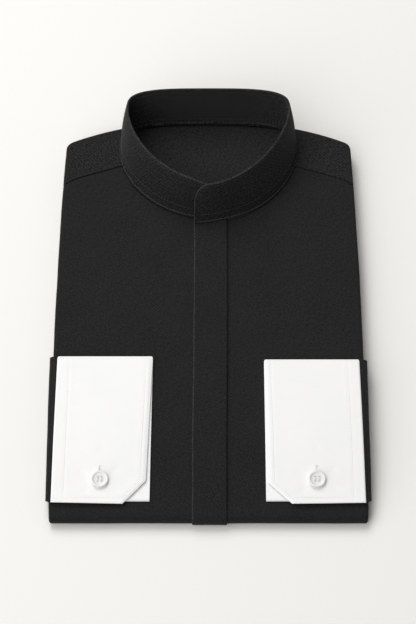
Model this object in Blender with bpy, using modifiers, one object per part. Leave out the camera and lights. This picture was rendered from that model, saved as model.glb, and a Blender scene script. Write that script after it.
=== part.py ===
"""Folded clergy shirt lying on its back: black body, standing neckband, white cuffs.

Sizes are millimetres until a mesh is made. X runs to the right and Y from the bottom fold to the
neckband, seen from above, and Z is up. Left and right in names are as seen in that view. Every
cloth wall is an open surface with a Solidify modifier.
"""
import math

import bmesh
import bpy
import numpy as np

MM = 0.001
GAP = 0.3                    # clearance between pieces that touch
ORIGIN_Y = 5.6               # middle of the model's box, taken as Y zero

# The folded pack
PACK_HEIGHT = 16.0           # top of the fronts over the surface
FOLD_HEIGHT = 10.0           # height of the pack where its bottom fold begins
FOLD_Y = -167.3              # axis of the bottom fold
DROP_START_Y = -100.0        # the top face slopes down from here to the bottom fold
SLOPE_STEPS = 8              # rows that every piece on the slope shares
UNDER_TURN = 4.7             # length of front that lies under the pack past the bottom fold
SIDE_TABLE = (               # half width of the pack along its length
    {"y": -175.0, "half": 119.9},
    {"y": -160.0, "half": 120.4},
    {"y": -33.0, "half": 120.3},
    {"y": 11.0, "half": 119.7},
    {"y": 55.0, "half": 118.9},
    {"y": 110.0, "half": 117.2},
    {"y": 160.0, "half": 115.0},
)
SHOULDER_TOP_Y = 175.5       # top edge of the pack behind the neckband
SHOULDER_FALL = 21.5         # how far the shoulder line falls to the sleeve corner
SHOULDER_POWER = 2.4
SHOULDER_CORNER_X = 115.0

# Cloth
WALL = 1.2                   # fronts, yoke and placket
HEM_RADIUS = 2.2             # outer radius of the hairpin fold along the sides and shoulders
HEM_TURN = 5.0               # cloth turned under past that fold

# Placket
CENTRE_EDGE_LEFT = -12.3     # the left front runs this far past the centre line
CENTRE_EDGE_RIGHT = 12.4
PLACKET_LEFT = -11.4
PLACKET_RIGHT = 14.8
PLACKET_TOP_Y = 82.9

# Seam between the yoke flaps and the fronts
SEAM_X = 69.8
SEAM_SIDE_Y = 112.0          # where the seam meets the side
SEAM_Y = 132.6
SEAM_SLOPE = 0.32
SEAM_HOOK = 4.6              # extra fall where the seam reaches the side
SEAM_HOOK_POWER = 12

# Neckband
BAND_WALL = 1.8
BAND_HEIGHT = 35.0           # rim above the fronts
BAND_BULGE = 1.0
BAND_FOOT = 0.75             # the leaning wall is this much lower at its inner face
BASE = {"half": 71.25, "y": 147.0, "front": 62.8, "left_power": 1.9, "right_power": 1.9,
        "back": 27.0, "back_power": 3.6}
RIM = {"half": 65.5, "y": 165.0, "front": 67.3, "left_power": 1.72, "right_power": 1.65,
       "back": 20.0, "back_power": 3.5}
BASE_LAP = 3.2               # the lapping end stands this far outside the lapped one
RIM_LAP = 2.8
BASE_DIP = 4.0               # the lapping end's foot slants forward by this much more
DIP_START = 0.96             # turn where that slant begins
DIP_TURNS = 0.068
LEDGE = 2.0                  # front and yoke cloth reaches this far inside the band's outer face
LAPPED_END = {"x": 10.0, "corner_length": 30.0, "corner_height": 14.0}
LAPPING_END = {"x": -11.3, "corner_length": 13.4, "corner_height": 18.0}
NECK_GIRTH = 410.0           # length of the base curve

# Cuffs
CUFF_WALL = 1.4
CUFF_PLY_GAP = 0.4
CUFFS = (
    {"side": "left", "sign": -1, "fold_y": -39.6, "end_y": -159.9, "under_y": -157.3, "skew": 1.1,
     "sleeve_top": 116.6, "sleeve_end": 118.6, "wrist_top": 42.8, "wrist_end": 47.9,
     "under_wrist_end": 44.4, "mitre_x": 16.8, "mitre_y": 18.3},
    {"side": "right", "sign": 1, "fold_y": -42.3, "end_y": -159.9, "under_y": -157.3, "skew": 0.7,
     "sleeve_top": 116.6, "sleeve_end": 118.5, "wrist_top": 42.9, "wrist_end": 45.3,
     "under_wrist_end": 43.5, "mitre_x": 17.6, "mitre_y": 16.9},
)
CUFF_CORNER = 2.5
BUTTON_X = 81.9
BUTTON_Y = -140.9
BUTTON_DIAMETER = 13.4
BUTTON_THICKNESS = 2.3
THREAD_HOLE = 1.5
THREAD_HOLE_OFFSET = 1.45
SLIT_LENGTH = 13.0
SLIT_WIDTH = 0.7
SLIT_BACK = 2.6              # the slit starts this far below the button's centre

# Sleeves
SLEEVE_WALL = 2.4
SLEEVE_X = 122.9
SLEEVE_END_Y = -158.2
SLEEVE_SLANT = 0.45          # the ends slant, so that the lower edge lies further up by this share
SLEEVE_CORNER = 3.6          # outer radius of the sleeve's two bends
SLEEVE_UNDER_X = 110.0       # inner edge of the stretch under the pack
SLEEVE_CUFF_X = 118.9        # edge on the front, beside the cuff
SLEEVE_END_ROUND = 1.4       # the upper end is cut back by this much round the side

# Hidden layers
CORE_LAYERS = 3
CORE_INSET = 1.6
CORE_GROOVE = 1.5
CORE_SHELF_INSET = 8.4
FOLD_CORNER_X = 109.0        # the layers' lower corners are cut back beyond this
TAIL_STEP = 0.9              # depth of the step along the folded tail's hem
TAIL_HEM_Y = 132.0
TAIL_HEM_RISE = 34.0
TAIL_HEM_HALF = 118.0
CUT_REACH = 130.0            # cutters run past the sides this far out
CUT_LOW = -5.0
CUT_HIGH = 30.0
CUT_FAR_Y = 190.0

# Inner yoke
INNER_YOKE_HALF = 99.0
INNER_YOKE_FRONT_Y = 72.0
INNER_YOKE_BACK = 3.6        # clearance inside the shoulder fold

BLACK = (0.018, 0.017, 0.017, 1.0)
BLACK_LIGHT = (0.028, 0.027, 0.027, 1.0)
WHITE = (0.86, 0.86, 0.87, 1.0)
PEARL = (0.80, 0.80, 0.79, 1.0)


def smooth(value):
    """Ease from 0 to 1 with level ends."""
    held = np.clip(value, 0.0, 1.0)
    return held * held * (3.0 - 2.0 * held)


def half_width(y):
    """Half width of the pack at y, read from SIDE_TABLE."""
    stations = [row["y"] for row in SIDE_TABLE]
    widths = [row["half"] for row in SIDE_TABLE]
    return np.interp(y, stations, widths)


def shoulder_line(x):
    """Top edge of the pack: a power curve that falls from the neck to the sleeve corner."""
    share = np.abs(x) / SHOULDER_CORNER_X
    return SHOULDER_TOP_Y - SHOULDER_FALL * share ** SHOULDER_POWER


def yoke_seam(x):
    """Front yoke seam: a straight fall outward with a quick hook at the side."""
    out = np.abs(x) - SEAM_X
    reach = half_width(SEAM_SIDE_Y) - SEAM_X
    hook = SEAM_HOOK * np.clip(out / reach, 0.0, 1.0) ** SEAM_HOOK_POWER
    return SEAM_Y - SEAM_SLOPE * out - hook


def pack_height(y):
    """Height of the top face, which slopes down to the bottom fold."""
    share = smooth((DROP_START_Y - y) / (DROP_START_Y - FOLD_Y))
    return PACK_HEIGHT - (PACK_HEIGHT - FOLD_HEIGHT) * share


def pack_surface(x, station, lift):
    """Points on the pack's outer surface, moved out along its normal by lift.

    Station is a length from the start of the bottom fold: positive on the top face, negative
    round the fold's half circle and then along the underside.
    """
    x, station, lift = np.broadcast_arrays(x, station, lift)
    radius = FOLD_HEIGHT / 2.0
    turn = np.clip(-station / radius, 0.0, math.pi)
    beyond = np.clip(-station - math.pi * radius, 0.0, None)
    ahead = np.clip(station, 0.0, None)
    face_y = FOLD_Y + ahead
    step = 0.5
    slope = (pack_height(face_y + step) - pack_height(face_y - step)) / (2.0 * step)
    slope = np.where(station > 0.0, slope, 0.0)
    normal_y = np.where(station > 0.0, -slope, -np.sin(turn))
    normal_z = np.where(station > 0.0, 1.0, np.cos(turn))
    size = np.hypot(normal_y, normal_z)
    top = pack_height(face_y)
    y = face_y - radius * np.sin(turn) + beyond
    z = np.where(station > 0.0, top, radius + radius * np.cos(turn))
    return np.stack([x, y + lift * normal_y / size, z + lift * normal_z / size], axis=-1)


def station_of(y):
    """Station of a point on the top face."""
    return y - FOLD_Y


def slope_stations():
    """Rows shared by all that lies on the slope, from its start down to the bottom fold."""
    return np.linspace(station_of(DROP_START_Y), 0.0, SLOPE_STEPS + 1)


def face_stations(start_y, end_y, level_rows):
    """Rows on the top face from start_y down to end_y: a few on the level part, then the slope's."""
    level = np.linspace(station_of(start_y), station_of(DROP_START_Y), level_rows)
    slope = slope_stations()[1:]
    end = station_of(end_y)
    return np.concatenate([level, slope[slope > end + 1.0], [end]])


def quarter(half, depth, power, count):
    """Quarter of a superellipse from its tip on Y to its side on X, evenly spaced by length."""
    angle = np.linspace(0.0, math.pi / 2.0, 721)
    x = half * np.sin(angle) ** (2.0 / power)
    y = depth * np.cos(angle) ** (2.0 / power)
    length = np.concatenate([[0.0], np.cumsum(np.hypot(np.diff(x), np.diff(y)))])
    even = np.linspace(0.0, length[-1], count)
    return np.interp(even, length, x), np.interp(even, length, y)


def neck_ring(shape, turns, lap=0.0, dip=0.0, inset=0.0):
    """Points of a neck curve at turns, 0 at the front centre, then the left side, back and right.

    Each quarter is a superellipse; lap deepens the front towards the lapping right end, and dip
    slants that end forward.
    """
    samples = 181
    half = shape["half"] - inset
    share = smooth((turns - 0.25) / 0.5)
    front = shape["front"] - inset + lap * share
    back = shape["back"] - inset
    wrapped = np.mod(turns, 1.0)
    folded = np.where(wrapped > 0.5, 1.0 - wrapped, wrapped) * 4.0
    side = np.where(wrapped > 0.5, 1.0, -1.0)
    place = np.linspace(0.0, 1.0, samples)
    reach = shape["front"] - inset
    left_x, left_y = quarter(half, reach, shape["left_power"], samples)
    right_x, right_y = quarter(half, reach, shape["right_power"], samples)
    back_x, back_y = quarter(half, back, shape["back_power"], samples)
    in_front = folded <= 1.0
    near = np.clip(folded, 0.0, 1.0)
    far = np.clip(2.0 - folded, 0.0, 1.0)
    left = side < 0.0
    front_x = np.where(left, np.interp(near, place, left_x), np.interp(near, place, right_x))
    front_y = np.where(left, np.interp(near, place, left_y), np.interp(near, place, right_y))
    x = np.where(in_front, front_x, np.interp(far, place, back_x))
    slant = dip * np.clip((turns - DIP_START) / DIP_TURNS, 0.0, 1.0) ** 2
    y_front = -front_y * front / reach - slant
    y_back = np.interp(far, place, back_y)
    return side * x, shape["y"] + np.where(in_front, y_front, y_back)


def neckline(x):
    """Front edge of the neck opening, just inside the band's outer face."""
    half = BASE["half"] - LEDGE
    power = BASE["left_power"]
    inside = np.clip(1.0 - (np.abs(x) / half) ** power, 0.0, None)
    return BASE["y"] - (BASE["front"] - LEDGE) * inside ** (1.0 / power)


def seam_columns():
    """X of the points along the yoke seam, from the neck edge to the side fold, closer at the hook."""
    side_top = half_width(SEAM_SIDE_Y) - HEM_RADIUS
    dense = np.linspace(SEAM_X - 4.0, BASE["half"] - LEDGE - 0.01, 400)
    join = dense[np.argmin(np.abs(neckline(dense) - yoke_seam(dense)))]
    share = np.array([0.0, 0.3, 0.6, 0.8, 0.9, 1.0])
    return join + (side_top - join) * share


def evenly(points, count, turn_weight=0.0):
    """Resample a polyline by its length, with more points where it turns."""
    steps = np.diff(points, axis=0)
    lengths = np.hypot(steps[:, 0], steps[:, 1])
    heading = np.unwrap(np.arctan2(steps[:, 1], steps[:, 0]))
    turning = np.abs(np.gradient(heading))
    measure = np.concatenate([[0.0], np.cumsum(lengths + turn_weight * turning)])
    marks = np.linspace(0.0, measure[-1], count)
    return np.stack([np.interp(marks, measure, points[:, axis]) for axis in (0, 1)], axis=1)


def round_corners(points, reach, closed):
    """Round a dense polyline's corners with a moving average over reach points."""
    kernel = np.ones(reach) / reach
    if closed:
        padded = np.concatenate([points[-reach:], points, points[:reach]])
    else:
        padded = np.concatenate([np.repeat(points[:1], reach, 0), points, np.repeat(points[-1:], reach, 0)])
    rounded = [np.convolve(padded[:, axis], kernel, "same")[reach:-reach] for axis in (0, 1)]
    result = np.stack(rounded, axis=1)
    if not closed:
        result[0] = points[0]
        result[-1] = points[-1]
    return result


def shoulder_outline():
    """Right half of the pack's top edge, from the yoke seam at the side to the back centre."""
    seam_y = yoke_seam(half_width(SEAM_SIDE_Y) - HEM_RADIUS)
    side_y = np.linspace(seam_y, shoulder_line(SHOULDER_CORNER_X), 60)
    side = np.stack([half_width(side_y), side_y], axis=1)
    top_x = np.linspace(SHOULDER_CORNER_X, 0.0, 160)
    top = np.stack([top_x, shoulder_line(top_x)], axis=1)
    return round_corners(np.concatenate([side, top[1:]]), 15, closed=False)


def collection_named(name):
    """New collection in the scene."""
    group = bpy.data.collections.new(name)
    bpy.context.scene.collection.children.link(group)
    return group


def material_named(name, colour, roughness, sheen=0.0):
    """Plain cloth or button material."""
    material = bpy.data.materials.new(name)
    material.use_nodes = True
    shader = material.node_tree.nodes["Principled BSDF"]
    shader.inputs["Base Color"].default_value = colour
    shader.inputs["Roughness"].default_value = roughness
    shader.inputs["Metallic"].default_value = 0.0
    shader.inputs["Sheen Weight"].default_value = sheen
    return material


def grid_mesh(name, points, outward):
    """Mesh of a rows x columns grid of points, its faces turned so that one side is outward."""
    rows, columns = points.shape[:2]
    index = np.arange(rows * columns).reshape(rows, columns)
    corners = [index[:-1, :-1], index[:-1, 1:], index[1:, 1:], index[1:, :-1]]
    quads = np.stack([corner.ravel() for corner in corners], axis=1)
    if not outward:
        quads = quads[:, ::-1]
    placed = (points.reshape(-1, 3) - (0.0, ORIGIN_Y, 0.0)) * MM
    mesh = bpy.data.meshes.new(name)
    mesh.from_pydata(placed.tolist(), [], quads.tolist())
    mesh.validate()
    return mesh


def add_object(name, mesh, material, group):
    """Link a mesh as a named sub-part and shade it smooth away from sharp edges."""
    part = bpy.data.objects.new(name, mesh)
    mesh.materials.append(material)
    mesh.shade_smooth()
    mesh.set_sharp_from_angle(angle=math.radians(40.0))
    group.objects.link(part)
    return part


def cloth(name, points, wall, material, group, outward=True):
    """Cloth piece: the outer face as a grid, thickened inward."""
    part = add_object(name, grid_mesh(name, points, outward), material, group)
    solidify = part.modifiers.new("Wall", "SOLIDIFY")
    solidify.thickness = wall * MM
    solidify.offset = -1.0
    solidify.use_quality_normals = True
    return part


def hairpin(radius, turn, steps):
    """Profile of a folded edge: how far in from the edge, and how deep, from the top face on."""
    angle = np.linspace(0.0, math.pi, steps)
    across = np.concatenate([radius - radius * np.sin(angle), [radius + turn]])
    depth = np.concatenate([radius - radius * np.cos(angle), [2.0 * radius]])
    return across, depth


def front(name, sign, centre_edge, material, group):
    """Front panel: top face, hairpin side fold and the bottom fold, up to the neck and yoke seam."""
    seam_x = seam_columns()
    side_top = seam_x[-1]
    dense = np.linspace(centre_edge, seam_x[0], 900)
    edge = evenly(np.stack([dense, neckline(dense) - GAP], axis=1), 13, turn_weight=6.0)
    seam = np.stack([seam_x, yoke_seam(seam_x) - GAP], axis=1)
    outline = np.concatenate([edge[:-1], seam])
    across, depth = hairpin(HEM_RADIUS, HEM_TURN, 6)
    top_x = np.concatenate([outline[:, 0], half_width(SEAM_SIDE_Y) - across[1:]])
    top_y = np.concatenate([outline[:, 1], np.full(across.size - 1, outline[-1, 1])])
    depths = np.concatenate([np.zeros(len(outline)), depth[1:]])

    level = station_of(DROP_START_Y)
    fold = -np.linspace(0.0, math.pi * FOLD_HEIGHT / 2.0, 7)
    stations = [level + share * (station_of(top_y) - level) for share in np.linspace(1.0, 0.0, 5)]
    stations += [np.full(top_y.shape, value) for value in slope_stations()[1:]]
    stations += [np.full(top_y.shape, value) for value in fold[1:]]
    stations.append(np.full(top_y.shape, fold[-1] - UNDER_TURN))
    stations = np.array(stations)

    y = pack_surface(0.0, stations, 0.0)[..., 1]
    flat_share = (top_x - centre_edge) / (side_top - centre_edge)
    narrow = half_width(y) - half_width(SEAM_SIDE_Y)
    x = top_x + narrow * np.clip(flat_share, 0.0, 1.0)
    points = pack_surface(sign * x, stations, -depths)
    return cloth(name, points, WALL, material, group, outward=sign < 0)


def placket(material, group):
    """Strip laid on both fronts, from the neckband round the bottom fold."""
    face = face_stations(PLACKET_TOP_Y, FOLD_Y, 5)
    fold = -np.linspace(0.0, math.pi * FOLD_HEIGHT / 2.0, 7)
    stations = np.concatenate([face, fold[1:-2]])[:, None]
    share = np.linspace(0.0, 1.0, 5)[None, :]
    x = PLACKET_LEFT + (PLACKET_RIGHT - PLACKET_LEFT) * share
    points = pack_surface(x, stations, GAP + WALL)
    return cloth("placket", points, WALL, material, group, outward=False)


def yoke(material, group):
    """Outer yoke: a strip round the neck from one front seam, behind the band, to the other.

    Each ray runs from the neck edge out to the shoulder line, round its hairpin and back under.
    """
    rays = 20
    outer_half = evenly(shoulder_outline(), rays, turn_weight=14.0)
    seam_x = seam_columns()
    turns = np.linspace(0.5, 1.0, 1800)
    ring_x, ring_y = neck_ring(BASE, turns, inset=LEDGE)
    kept = ring_y >= yoke_seam(seam_x[0])
    inner = np.stack([ring_x[kept], ring_y[kept]], axis=1)[::-1]
    inner_half = evenly(inner, rays, turn_weight=10.0)
    mirrored = np.array([-1.0, 1.0])
    outer = np.concatenate([outer_half, (outer_half * mirrored)[-2::-1]])
    inner = np.concatenate([inner_half, (inner_half * mirrored)[-2::-1]])

    tangent = np.gradient(outer, axis=0)
    size = np.hypot(tangent[:, 0], tangent[:, 1])
    normal = np.stack([tangent[:, 1], -tangent[:, 0]], axis=1) / size[:, None]
    normal[0] = (1.0, 0.0)
    normal[-1] = (-1.0, 0.0)

    across, depth = hairpin(HEM_RADIUS, HEM_TURN, 6)
    share = (seam_x[:-1] - seam_x[0]) / (seam_x[-1] - seam_x[0])
    edge = outer - normal * HEM_RADIUS
    flat = inner[:, None] + (edge - inner)[:, None] * share[None, :, None]
    seam = yoke_seam(flat[..., 0])
    rays_total = len(outer)
    from_end = np.minimum(np.arange(rays_total), np.arange(rays_total)[::-1])
    pull = np.clip(1.0 - from_end / 5.0, 0.0, 1.0)[:, None]
    straight = flat[from_end == 0][:, :, 1]
    change = np.where(flat[..., 0] > 0.0, seam[0] - straight[0], seam[-1] - straight[-1])
    flat[..., 1] += pull * change
    bent = outer[:, None] - normal[:, None] * across[None, :, None]
    plan = np.concatenate([flat, bent], axis=1)
    depths = np.concatenate([np.zeros(share.size), depth])
    z = PACK_HEIGHT - np.broadcast_to(depths, plan.shape[:2])
    points = np.concatenate([plan, z[..., None]], axis=-1)
    return cloth("yoke", points, WALL, material, group)


def inner_yoke(material, group):
    """Inner ply of the yoke, the floor seen through the neck."""
    x = np.linspace(-INNER_YOKE_HALF, INNER_YOKE_HALF, 25)
    top = shoulder_line(x) - INNER_YOKE_BACK
    share = np.linspace(0.0, 1.0, 4)[:, None]
    y = INNER_YOKE_FRONT_Y + (top - INNER_YOKE_FRONT_Y) * share
    z = np.full(y.shape, PACK_HEIGHT - WALL - GAP)
    points = np.stack([np.broadcast_to(x, y.shape), y, z], axis=-1)
    return cloth("yoke_inner", points, WALL, material, group)


def end_turn(x_end, turns):
    """Turn at which the neckband's base curve reaches x_end."""
    ring_x, _ = neck_ring(BASE, turns, BASE_LAP, BASE_DIP)
    return turns[np.argmin(np.abs(ring_x - x_end))]


def corner_cut(end, from_end):
    """Height that a band end's elliptical corner takes off at turns away from that end."""
    short = np.clip(1.0 - from_end * NECK_GIRTH / end["corner_length"], 0.0, 1.0)
    return end["corner_height"] * (1.0 - np.sqrt(1.0 - short ** 2))


def collar_band(material, group):
    """Standing neckband with lapped front ends, a loft from its base curve to its rim curve."""
    start = end_turn(LAPPED_END["x"], np.linspace(-0.12, 0.0, 600))
    finish = end_turn(LAPPING_END["x"], np.linspace(1.0, 1.12, 600))
    corner = 1.0 - np.cos(np.linspace(0.0, math.pi / 2.0, 7))
    near = start + corner * LAPPED_END["corner_length"] / NECK_GIRTH
    far = finish - corner[::-1] * LAPPING_END["corner_length"] / NECK_GIRTH
    turns = np.concatenate([near, np.linspace(near[-1], far[0], 60)[1:-1], far])
    base_x, base_y = neck_ring(BASE, turns, BASE_LAP, BASE_DIP)
    rim_x, rim_y = neck_ring(RIM, turns, RIM_LAP)
    cut = corner_cut(LAPPED_END, turns - start) + corner_cut(LAPPING_END, finish - turns)
    tall = 1.0 - cut / BAND_HEIGHT
    on_placket = smooth((turns - 0.9) / 0.04)
    foot = GAP + BAND_FOOT + (GAP + WALL) * on_placket

    rise = np.linspace(0.0, 1.0, 7)[:, None]
    up = rise * tall[None, :]
    bulge = BAND_BULGE * np.sin(math.pi * up)
    out = np.stack([base_x, base_y - BASE["y"]], axis=0)
    out = out / np.hypot(out[0], out[1])
    x = base_x + (rim_x - base_x) * up + out[0] * bulge
    y = base_y + (rim_y - base_y) * up + out[1] * bulge
    z = PACK_HEIGHT + foot + (BAND_HEIGHT - foot) * up
    points = np.stack([x, y, z], axis=-1)
    return cloth("collar_band", points, BAND_WALL, material, group, outward=False)


def cuff_bounds(row, y):
    """Sleeve edge of a cuff at y, and the wrist edges of its upper and under ply."""
    share = (row["fold_y"] - y) / (row["fold_y"] - row["end_y"])
    sleeve = row["sleeve_top"] + (row["sleeve_end"] - row["sleeve_top"]) * share
    wrist = row["wrist_top"] + (row["wrist_end"] - row["wrist_top"]) * share
    under_wrist = row["wrist_top"] + (row["under_wrist_end"] - row["wrist_top"]) * share
    return sleeve, wrist, under_wrist


def cuff(row, material, group, cutters):
    """Cuff folded in half at its top: under ply, fold and upper ply with a mitred corner."""
    radius = CUFF_WALL + CUFF_PLY_GAP / 2.0
    axis_lift = GAP + radius
    fold_station = station_of(row["fold_y"]) - radius
    fold_y = fold_station + FOLD_Y
    under = face_stations(fold_y, row["under_y"], 3)[::-1]
    angle = np.linspace(-math.pi / 2.0, math.pi / 2.0, 8)[1:-1]
    upper_end = station_of(row["end_y"])
    mitre_start = upper_end + row["mitre_y"]
    upper = np.sort(np.append(face_stations(fold_y, row["end_y"], 3), mitre_start))[::-1]
    stations = np.concatenate([under, fold_station + radius * np.cos(angle), upper])
    fold_lift = axis_lift + radius * np.sin(angle)
    upper_lift = np.full(upper.size, axis_lift + radius)
    lifts = np.concatenate([np.full(under.size, GAP), fold_lift, upper_lift])
    is_upper = np.arange(stations.size) >= under.size + angle.size

    y = stations + FOLD_Y
    sleeve, upper_wrist, under_wrist = cuff_bounds(row, y)
    past_mitre = np.clip((mitre_start - stations) / row["mitre_y"], 0.0, 1.0) * is_upper
    wrist = np.where(is_upper, upper_wrist, under_wrist) + past_mitre * row["mitre_x"]
    near_fold = np.clip(CUFF_CORNER - (fold_station + radius - stations), 0.0, CUFF_CORNER)
    corner = CUFF_CORNER - np.sqrt(CUFF_CORNER ** 2 - near_fold ** 2)
    sleeve = sleeve - corner
    wrist = wrist + corner
    share = np.linspace(0.0, 1.0, 9)
    x = sleeve[:, None] + (wrist - sleeve)[:, None] * share[None, :]
    stations = stations[:, None] + row["skew"] * past_mitre[:, None] * (1.0 - share[None, :])
    points = pack_surface(row["sign"] * x, stations, lifts[:, None])
    name = "cuff_" + row["side"]
    part = cloth(name, points, CUFF_WALL, material, group, outward=row["sign"] > 0)

    slit_y = BUTTON_Y - SLIT_BACK + SLIT_LENGTH / 2.0
    lift = axis_lift + radius - CUFF_WALL / 2.0
    cutter = box_cutter("slit_" + row["side"], (SLIT_WIDTH, SLIT_LENGTH, CUFF_WALL + CUFF_PLY_GAP), cutters)
    place_on_pack(cutter, row["sign"] * BUTTON_X, slit_y, lift)
    difference(part, cutter)
    return part


def place_on_pack(part, x, y, lift):
    """Stand an object on the pack's surface with its own Z along the surface normal."""
    centre = pack_surface(x, station_of(y), lift)
    above = pack_surface(x, station_of(y), lift + 1.0) - centre
    part.location = (centre - (0.0, ORIGIN_Y, 0.0)) * MM
    part.rotation_euler = (math.atan2(-above[1], above[2]), 0.0, 0.0)


def box_cutter(name, size, cutters):
    """Box from a primitive, kept as a cutter."""
    mesh = bpy.data.meshes.new(name)
    shape = bmesh.new()
    bmesh.ops.create_cube(shape, size=1.0)
    bmesh.ops.scale(shape, vec=[side * MM for side in size], verts=shape.verts)
    shape.to_mesh(mesh)
    shape.free()
    return as_cutter(name, mesh, cutters)


def as_cutter(name, mesh, cutters):
    """Link a mesh as a hidden wire cutter."""
    cutter = bpy.data.objects.new(name, mesh)
    cutter.hide_render = True
    cutter.display_type = "WIRE"
    cutters.objects.link(cutter)
    return cutter


def difference(part, cutter):
    """Cut a shape out of a part."""
    boolean = part.modifiers.new("Cut " + cutter.name, "BOOLEAN")
    boolean.operation = "DIFFERENCE"
    boolean.object = cutter
    return boolean


def sleeve(row, material, group):
    """Sleeve edge: from under the pack, up round its side and in to the cuff's sleeve edge."""
    sign = row["sign"]
    upper_y = row["fold_y"]
    wall_top = GAP + SLEEVE_WALL
    bend = np.linspace(0.0, math.pi / 2.0, 6)
    r = SLEEVE_CORNER
    rows = face_stations(upper_y, SLEEVE_END_Y, 3)[::-1] + FOLD_Y
    y_share = (rows - SLEEVE_END_Y) / (upper_y - SLEEVE_END_Y)
    top_x = np.concatenate([[SLEEVE_CUFF_X], SLEEVE_X - r + r * np.sin(bend)])
    top_z = np.concatenate([[0.0], r * np.cos(bend) - r])
    low_x = np.concatenate([SLEEVE_X - r + r * np.cos(bend), [116.0, SLEEVE_UNDER_X]])
    low_z = np.concatenate([r - r * np.sin(bend), [0.0, 0.0]])
    x = np.concatenate([top_x, low_x])
    over = np.append((top_x - SLEEVE_CUFF_X) / (SLEEVE_X - SLEEVE_CUFF_X), np.ones(low_x.size))
    y_top = upper_y - SLEEVE_END_ROUND * over ** 2
    y = SLEEVE_END_Y + (y_top - SLEEVE_END_Y) * y_share[:, None]
    top_part = np.arange(x.size) < top_x.size
    drop = np.concatenate([top_z, np.zeros(low_x.size)])
    z_low = np.broadcast_to(np.concatenate([np.zeros(top_x.size), low_z]), y.shape)
    below_top = np.where(top_part, -drop, pack_height(y) + wall_top - z_low)
    y = y + SLEEVE_SLANT * below_top
    z = np.where(top_part, pack_height(y) + wall_top + drop, z_low)
    points = np.stack([np.broadcast_to(sign * x, y.shape), y, z], axis=-1)
    return cloth("sleeve_" + row["side"], points, SLEEVE_WALL, material, group, outward=sign > 0)


def button(row, material, group, cutters):
    """Turned four-hole button with a raised rim, lying on the cuff."""
    radius = BUTTON_DIAMETER / 2.0
    half = BUTTON_THICKNESS / 2.0
    profile = (
        (0.0, half - 0.75), (radius - 2.6, half - 0.75), (radius - 2.0, half - 0.35), (radius - 1.3, half),
        (radius - 0.5, half - 0.15), (radius, half - 0.75), (radius - 0.1, -half + 0.7),
        (radius - 1.4, -half), (0.0, -half),
    )
    mesh = bpy.data.meshes.new("button_" + row["side"])
    shape = bmesh.new()
    points = [shape.verts.new((x * MM, 0.0, z * MM)) for x, z in profile]
    for first, second in zip(points[:-1], points[1:]):
        shape.edges.new((first, second))
    shape.to_mesh(mesh)
    shape.free()
    part = bpy.data.objects.new(mesh.name, mesh)
    mesh.materials.append(material)
    group.objects.link(part)
    screw = part.modifiers.new("Turn", "SCREW")
    screw.steps = 24
    screw.render_steps = 24
    screw.use_merge_vertices = True
    screw.merge_threshold = 0.00001
    cuff_top = GAP + 2.0 * CUFF_WALL + CUFF_PLY_GAP
    place_on_pack(part, row["sign"] * BUTTON_X, BUTTON_Y, cuff_top + GAP + half)
    for number, (step_x, step_y) in enumerate(((-1, -1), (1, -1), (1, 1), (-1, 1))):
        name = f"thread_hole_{row['side']}_{number}"
        cutter_mesh = bpy.data.meshes.new(name)
        shape = bmesh.new()
        bmesh.ops.create_cone(shape, cap_ends=True, segments=8, radius1=THREAD_HOLE * MM / 2.0,
                              radius2=THREAD_HOLE * MM / 2.0, depth=3.0 * BUTTON_THICKNESS * MM)
        shape.to_mesh(cutter_mesh)
        shape.free()
        cutter = as_cutter(name, cutter_mesh, cutters)
        cutter.parent = part
        cutter.location = (step_x * THREAD_HOLE_OFFSET * MM, step_y * THREAD_HOLE_OFFSET * MM, 0.0)
        difference(part, cutter)
    return part


def pack_outline(count):
    """Closed plan of the hidden layers, anticlockwise, with rounded corners."""
    top_half = shoulder_outline()
    side_y = np.linspace(FOLD_Y + 0.8, top_half[0, 1], 250)[:-1]
    side = np.stack([half_width(side_y), side_y], axis=1)
    floor_x = np.linspace(0.0, side[0, 0], 110)[:-1]
    floor = np.stack([floor_x, np.full(floor_x.shape, FOLD_Y + 0.8)], axis=1)
    right = np.concatenate([floor, side, top_half])
    left = (right * np.array([-1.0, 1.0]))[-2:0:-1]
    rounded = round_corners(np.concatenate([right, left]), 13, closed=True)
    rounded = np.concatenate([rounded, rounded[:1]])
    return evenly(rounded, count + 1, turn_weight=16.0)[:-1]


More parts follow.
